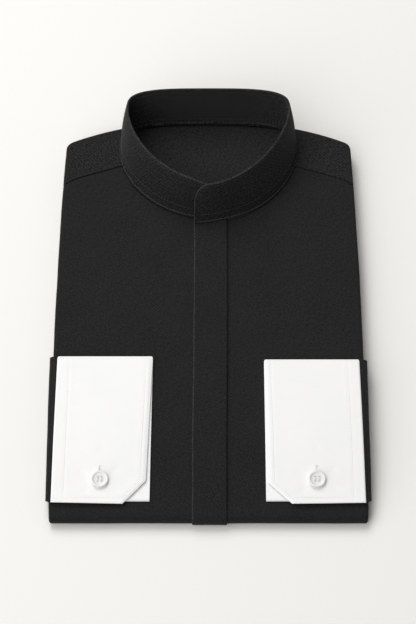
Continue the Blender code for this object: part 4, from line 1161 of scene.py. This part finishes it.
def on_cuff(row, x, y, z):
    """Places local points, in millimetres from the button's centre, on the cuff's sloping face."""
    lift = cuff_upper_lift() + GAP + BUTTON_THICKNESS / 2.0
    middle = pack_surface(row["sign"] * BUTTON_X, station_of(BUTTON_Y), lift)
    above = pack_surface(row["sign"] * BUTTON_X, station_of(BUTTON_Y), lift + 1.0) - middle
    ahead = np.array([0.0, above[2], -above[1]])
    across = np.array([1.0, 0.0, 0.0])
    return middle + x[..., None] * across + y[..., None] * ahead + z[..., None] * above


def button_disc(row):
    """Button: a profile turned about its axis, with four thread holes bored through."""
    radius = BUTTON_DIAMETER / 2.0
    half = BUTTON_THICKNESS / 2.0
    face_in = np.array([4.1, 3.0, 2.75, 2.1, 1.5, 1.05, 0.65, 0.25, 0.0])
    face_down = np.array([0.76, 0.64, 0.70, 0.46, 0.12, 0.0, 0.05, 0.3, 0.8])
    back_in = np.array([0.15, 0.7, 1.5])
    back_up = np.array([0.6, 0.2, 0.0])
    key = np.concatenate([
        [[0.0, half - BUTTON_WELL]], np.stack([radius - face_in, half - face_down], axis=1),
        np.stack([radius - back_in, back_up - half], axis=1), [[0.0, -half]]])
    fine = evenly(key, 64)
    fine[0, 0] = 0.0
    fine[-1, 0] = 0.0
    steps = 72
    angle = np.arange(steps) * 2.0 * math.pi / steps
    body = fine[1:-1]
    x = body[:, :1] * np.cos(angle)
    y = body[:, :1] * np.sin(angle)
    z = np.broadcast_to(body[:, 1:], x.shape)
    ring_points = on_cuff(row, x, y, z).reshape(-1, 3)
    poles = on_cuff(row, np.zeros(2), np.zeros(2), fine[[0, -1], 1])
    points = np.concatenate([ring_points, poles])
    quads = grid_quads(len(body), steps, wrap_columns=True)
    first = np.arange(steps)
    after = np.roll(first, -1)
    top = np.stack([np.full(steps, len(ring_points)), after, first], axis=1)
    last = (len(body) - 1) * steps
    low = np.stack([np.full(steps, len(ring_points) + 1), last + first, last + after], axis=1)
    piece = mesh_piece("button_" + row["side"] + "_disc", points, quads, MATERIALS["pearl"],
                       triangles=np.concatenate([top, low]))
    work = bmesh.new()
    work.from_mesh(piece.data)
    bmesh.ops.recalc_face_normals(work, faces=work.faces)
    work.to_mesh(piece.data)
    work.free()
    return bored(row, piece)


def bored(row, piece):
    """Cuts the four thread holes with round cutters and keeps the result as the button's mesh."""
    cutter_mesh = bpy.data.meshes.new("thread_holes")
    work = bmesh.new()
    for step_x in (-1.0, 1.0):
        for step_y in (-1.0, 1.0):
            made = bmesh.ops.create_cone(
                work, cap_ends=True, segments=28, radius1=THREAD_HOLE / 2.0, radius2=THREAD_HOLE / 2.0,
                depth=3.0 * BUTTON_THICKNESS)
            local = np.array([vert.co[:] for vert in made["verts"]])
            local = local + (step_x * THREAD_HOLE_OFFSET, step_y * THREAD_HOLE_OFFSET, 0.0)
            for vert, point in zip(made["verts"], in_metres(on_cuff(row, *local.T))):
                vert.co = point
    work.to_mesh(cutter_mesh)
    work.free()
    cutter = add_object("thread_holes", cutter_mesh)
    boolean = piece.modifiers.new("Holes", "BOOLEAN")
    boolean.operation = "DIFFERENCE"
    boolean.object = cutter
    bpy.context.view_layer.update()
    evaluated = piece.evaluated_get(bpy.context.evaluated_depsgraph_get())
    cut = bpy.data.meshes.new_from_object(evaluated)
    piece.modifiers.clear()
    piece.data = cut
    bpy.data.objects.remove(cutter)
    cut.shade_smooth()
    cut.set_sharp_from_angle(angle=math.radians(38.0))
    return settle(piece, "button", "button_" + row["side"])


def button_thread(row):
    """Thread that holds the button: two upright pairs of holes, four strands over each pair."""
    half = BUTTON_THICKNESS / 2.0
    share = np.linspace(0.0, 1.0, 13)
    spread = np.array([-0.42, -0.14, 0.14, 0.42])
    strands = []
    for step_x in (-1.0, 1.0):
        for number, offset in enumerate(spread):
            reach = THREAD_HOLE_OFFSET + 0.42 + 0.12 * (number % 2)
            y = -reach + 2.0 * reach * share
            rise = np.clip(np.minimum(share, 1.0 - share) / 0.16, 0.0, 1.0)
            z = half - BUTTON_WELL - 0.7 * (1.0 - rise) ** 2 + 0.16 + 0.10 * np.sin(math.pi * share)
            x = np.full(share.size, step_x * THREAD_HOLE_OFFSET + offset * 1.1)
            strands.append(np.stack([x, y, z], axis=-1))
    strands = np.array(strands)
    centre = on_cuff(row, *np.moveaxis(strands, -1, 0))
    across = np.broadcast_to(np.array([1.0, 0.0, 0.0]), centre.shape)
    up = np.cross(across, unit(np.gradient(centre, axis=1)))
    made = tubes("button_thread_" + row["side"], centre, up, across, 0.19, share * 3.0,
                 MATERIALS["white_thread"], corners=8)
    return settle(made, "button")


def sleeve_wrap(row):
    """Sleeve: a section carried along the pack's side, up from under it and in to the cuff.

    The section is two quarter circles joined by a straight side; a groove along its top parts
    the sleeve's two plies, and the upper end is cut back in a curve.
    """
    sign = row["sign"]
    r = SLEEVE_CORNER
    bend = np.linspace(0.0, math.pi / 2.0, 14)
    upper_y = row["fold_y"]
    rows = np.linspace(SLEEVE_END_Y, upper_y, 110)
    y_share = (rows - SLEEVE_END_Y) / (upper_y - SLEEVE_END_Y)
    cuff_x = cuff_bounds(row, rows)[0][:, None] + 0.5
    over = np.linspace(0.0, 1.0, 8)[:-1]
    top_x = cuff_x + (SLEEVE_X - r - cuff_x) * over
    arc_x = np.broadcast_to(SLEEVE_X - r + r * np.sin(bend), (rows.size, bend.size))
    low_bend_x = np.broadcast_to(SLEEVE_X - r + r * np.cos(bend), (rows.size, bend.size))
    under = np.broadcast_to(np.linspace(SLEEVE_X - r, SLEEVE_UNDER_X, 8)[1:], (rows.size, 7))
    x = np.concatenate([top_x, arc_x, low_bend_x, under], axis=1)
    drop = np.concatenate([np.zeros(over.size), r - r * np.cos(bend)])
    low_z = np.concatenate([r - r * np.sin(bend), np.zeros(7)])
    shape_over = np.clip((x - cuff_x) / (SLEEVE_X - cuff_x), 0.0, 1.0)
    shape_over[:, drop.size:] = 1.0
    y_top = upper_y - SLEEVE_END_ROUND * shape_over ** 2
    y = SLEEVE_END_Y + (y_top - SLEEVE_END_Y) * y_share[:, None]
    below = np.broadcast_to(np.concatenate([drop, np.zeros(low_z.size)]), y.shape).copy()
    below[:, drop.size:] = pack_height(y[:, drop.size:]) + GAP + SLEEVE_WALL - low_z
    y = y + SLEEVE_SLANT * below
    high = pack_height(y[:, :drop.size]) + GAP + SLEEVE_WALL - drop
    groove = 0.55 * np.exp(-((x[:, :drop.size] - SLEEVE_X + 2.6) / 0.35) ** 2)
    z = np.concatenate([high - groove, np.broadcast_to(low_z, (rows.size, low_z.size))], axis=1)
    sway = 0.16 * wander(y, 83 + sign) * np.clip((x - 118.0) / 4.0, 0.0, 1.0)
    points = np.stack([sign * (x + sway - 0.1), y, z], axis=-1)
    name = "sleeve_" + row["side"]
    piece = sheet_piece(name + "_cloth", points, MATERIALS["sleeve"], wall=SLEEVE_PLY, flip=sign < 0)
    return settle(piece, "sleeve_cloth", name)


def tail_hem(x):
    """Y of the folded tail's hem under the pack, curving forward towards the sides."""
    return TAIL_HEM_Y - TAIL_HEM_RISE * smooth(np.abs(x) / TAIL_HEM_HALF)


def layer_outline(count):
    """Closed plan of the hidden layers, anticlockwise, with rounded corners."""
    top_half = shoulder_outline()
    side_y = np.linspace(LAYER_FRONT_Y, top_half[0, 1], 250)[:-1]
    side = np.stack([half_width(side_y), side_y], axis=1)
    floor_x = np.linspace(0.0, side[0, 0], 110)[:-1]
    floor = np.stack([floor_x, np.full(floor_x.shape, LAYER_FRONT_Y)], axis=1)
    right = np.concatenate([floor, side, top_half])
    left = (right * np.array([-1.0, 1.0]))[-2:0:-1]
    rounded = round_corners(np.concatenate([right, left]), 13, closed=True)
    rounded = np.concatenate([rounded, rounded[:1]])
    return evenly(rounded, count + 1, turn_weight=16.0)[:-1]


def layered_back():
    """Back, tail and folded sides: rings round the pack whose inset swells and dips once a layer.

    Each layer's edge wanders in and out by itself, and the top and underside close with rows of
    smaller rings, the underside stepped along the folded tail's curved hem.
    """
    count = 620
    outline = layer_outline(count)
    steps = np.linalg.norm(np.roll(outline, -1, axis=0) - outline, axis=1)
    run = np.cumsum(steps)
    middle_y = (SHOULDER_TOP_Y + FOLD_Y) / 2.0
    half_length = (SHOULDER_TOP_Y - FOLD_Y) / 2.0
    shelf_depth = 2.0 * HEM_RADIUS + GAP
    rings = []

    def ring(inset, height):
        """One ring of the outline, drawn in by inset, at a height given as a function of y."""
        x = outline[:, 0] * (1.0 - inset / SHOULDER_CORNER_X)
        y = middle_y + (outline[:, 1] - middle_y) * (1.0 - inset / half_length)
        y = np.maximum(y, LAYER_FRONT_Y)
        rings.append(np.stack([x, y, height(x, y)], axis=-1))

    def underside(x, y):
        """Level underside, stepped up beyond the tail's hem."""
        beyond = np.where(y > tail_hem(x), TAIL_STEP, 0.0)
        fold = np.where(y < FOLD_Y + UNDER_TURN + GAP, 1.1, 0.0)
        lies_on_sleeve = (np.abs(x) > SLEEVE_UNDER_X - GAP) & (y < SLEEVE_UPPER_EDGE)
        return np.maximum(np.maximum(beyond, fold), np.where(lies_on_sleeve, SLEEVE_WALL + 0.2, 0.0))

    for inset in np.concatenate([[112.0], np.linspace(104.0, 4.0, 52)]):
        ring(inset, underside)
    first_edge_ring = len(rings) - 2
    for layer in range(CORE_LAYERS):
        stray = 0.55 * wander(run, 101 + layer)
        for angle in np.linspace(0.0, math.pi, 11)[min(layer, 1):]:
            share = (layer + (1.0 - math.cos(angle)) / 2.0) / CORE_LAYERS
            inset = CORE_INSET + CORE_GROOVE * (1.0 - math.sin(angle)) + stray * math.sin(angle)
            ring(inset, lambda x, y, share=share: underside(x, y) + share * (
                pack_height(y) - shelf_depth - underside(x, y)))
    first_shelf_ring = len(rings)
    for inset in (CORE_SHELF_INSET - 3.0, CORE_SHELF_INSET):
        ring(inset, lambda x, y: pack_height(y) - shelf_depth)
    for inset in np.concatenate([[CORE_SHELF_INSET], np.linspace(14.0, 104.0, 12), [112.0]]):
        ring(inset, lambda x, y: pack_height(y) - PLY - 2.6)
    points = np.array(rings)
    quads = grid_quads(*points.shape[:2], wrap_columns=True)
    total = points.shape[0]
    middle = count // 2
    low = np.arange(1, middle)
    strip = np.stack([low - 1, low, (-low) % count, (-low + 1) % count], axis=1)[1:]
    tips = np.array([[0, 1, count - 1], [middle - 1, middle, middle + 1]])
    lid = (total - 1) * count
    weave = points[..., :2] * MM
    depth_run = np.cumsum(np.linalg.norm(np.diff(points, axis=0, prepend=points[:1]), axis=-1), axis=0)
    on_edge = (np.arange(total) >= first_edge_ring) & (np.arange(total) < first_shelf_ring)
    edge_weave = np.stack([np.broadcast_to(run, depth_run.shape), depth_run], axis=-1) * MM
    weave = np.where(on_edge[:, None, None], edge_weave, weave)
    piece = mesh_piece("folded_layers_cloth", points, np.concatenate([quads, strip[:, ::-1], strip + lid]),
                       MATERIALS["body"], weave, triangles=np.concatenate([tips[:, ::-1], tips + lid]))
    return settle(piece, "body_cloth", "folded_layers")


def tail_hem_stitches():
    """Stitch row along the folded tail's hem, on the underside."""
    x = np.linspace(-100.0, 100.0, 160)
    path = np.stack([x, tail_hem(x) - TAIL_HEM_STITCH, np.full(x.size, 0.12)], axis=-1)
    down = np.broadcast_to(np.array([0.0, 0.0, -1.0]), path.shape)
    row = stitch_row("tail_hem_stitches", path, down, MATERIALS["black_thread"], thread=0.2, seed=131)
    return settle(row, "body_cloth")


# Setting

DAYLIGHT = (1.0, 0.995, 0.985)


def studio():
    """Pale floor, a broad soft light from the left, a smaller one from behind and a pale surround."""
    floor_mesh = bpy.data.meshes.new("floor")
    reach = 4.0
    corners = [(-reach, -reach, 0.0), (reach, -reach, 0.0), (reach, reach, 0.0), (-reach, reach, 0.0)]
    floor_mesh.from_pydata(corners, [], [(0, 1, 2, 3)])
    material, _, shader = new_material("studio_floor")
    set_sockets(shader, {"Base Color": (0.900, 0.888, 0.868, 1.0), "Roughness": 0.95,
                         "Specular IOR Level": 0.1})
    floor_mesh.materials.append(material)
    add_object("floor", floor_mesh)

    world = bpy.data.worlds.new("surround")
    bpy.context.scene.world = world
    world.use_nodes = True
    set_sockets(world.node_tree.nodes["Background"], {"Color": (*DAYLIGHT, 1.0), "Strength": 0.18})

    lamps = (
        {"name": "left_window", "place": (-1.3, -1.0, 1.6), "size": 3.3, "power": 50.2},
        {"name": "back_window", "place": (-0.55, 1.35, 1.9), "size": 1.5, "power": 36.0},
    )
    for lamp in lamps:
        data = bpy.data.lights.new(lamp["name"], "AREA")
        data.shape = "SQUARE"
        data.size = lamp["size"]
        data.energy = lamp["power"]
        data.color = DAYLIGHT
        light = add_object(lamp["name"], data)
        light.location = lamp["place"]
        aim(light, (0.0, 0.0, 0.0))


def aim(item, target):
    """Turns an object so that its -Z points at the target and its Y stays upward."""
    from_item = np.array(target) - np.array(item.location)
    distance = np.linalg.norm(from_item)
    tilt = math.acos(-from_item[2] / distance)
    heading = math.atan2(from_item[0], from_item[1])
    item.rotation_euler = (tilt, 0.0, -heading)


def camera():
    """Camera at the photo's angle, aimed at the pattern's centre on the pack's top face."""
    data = bpy.data.cameras.new("camera")
    data.lens = CAMERA_LENS
    data.sensor_width = 36.0
    data.shift_x = CAMERA_SHIFT
    item = add_object("camera", data)
    angle = math.radians(CAMERA_ELEVATION)
    target = np.array([0.0, -ORIGIN_Y, PACK_HEIGHT]) * MM
    place = target + CAMERA_DISTANCE * np.array([0.0, -math.cos(angle), math.sin(angle)])
    item.location = place
    item.rotation_euler = (math.pi / 2.0 - angle, 0.0, 0.0)
    bpy.context.scene.camera = item


def main():
    """Makes the camera, the studio and every piece."""
    camera()
    studio()
    view = bpy.context.scene.view_settings
    view.view_transform = "Standard"
    view.look = "None"

    layers = layered_back()
    hem = tail_hem_stitches()
    fronts = {side: front_panel(side, sign) for side, sign in (("left", -1), ("right", 1))}
    strip, strip_rows = placket_strip()
    floor_ply = yoke_floor()
    yoke = yoke_ring()
    band, band_rows = neckband()
    for row in CUFFS:
        cuff = cuff_cloth(row)
        going = cuff_stitches(row) + [buttonhole(row), button_disc(row), button_thread(row)]
        sleeve = sleeve_wrap(row)


main()
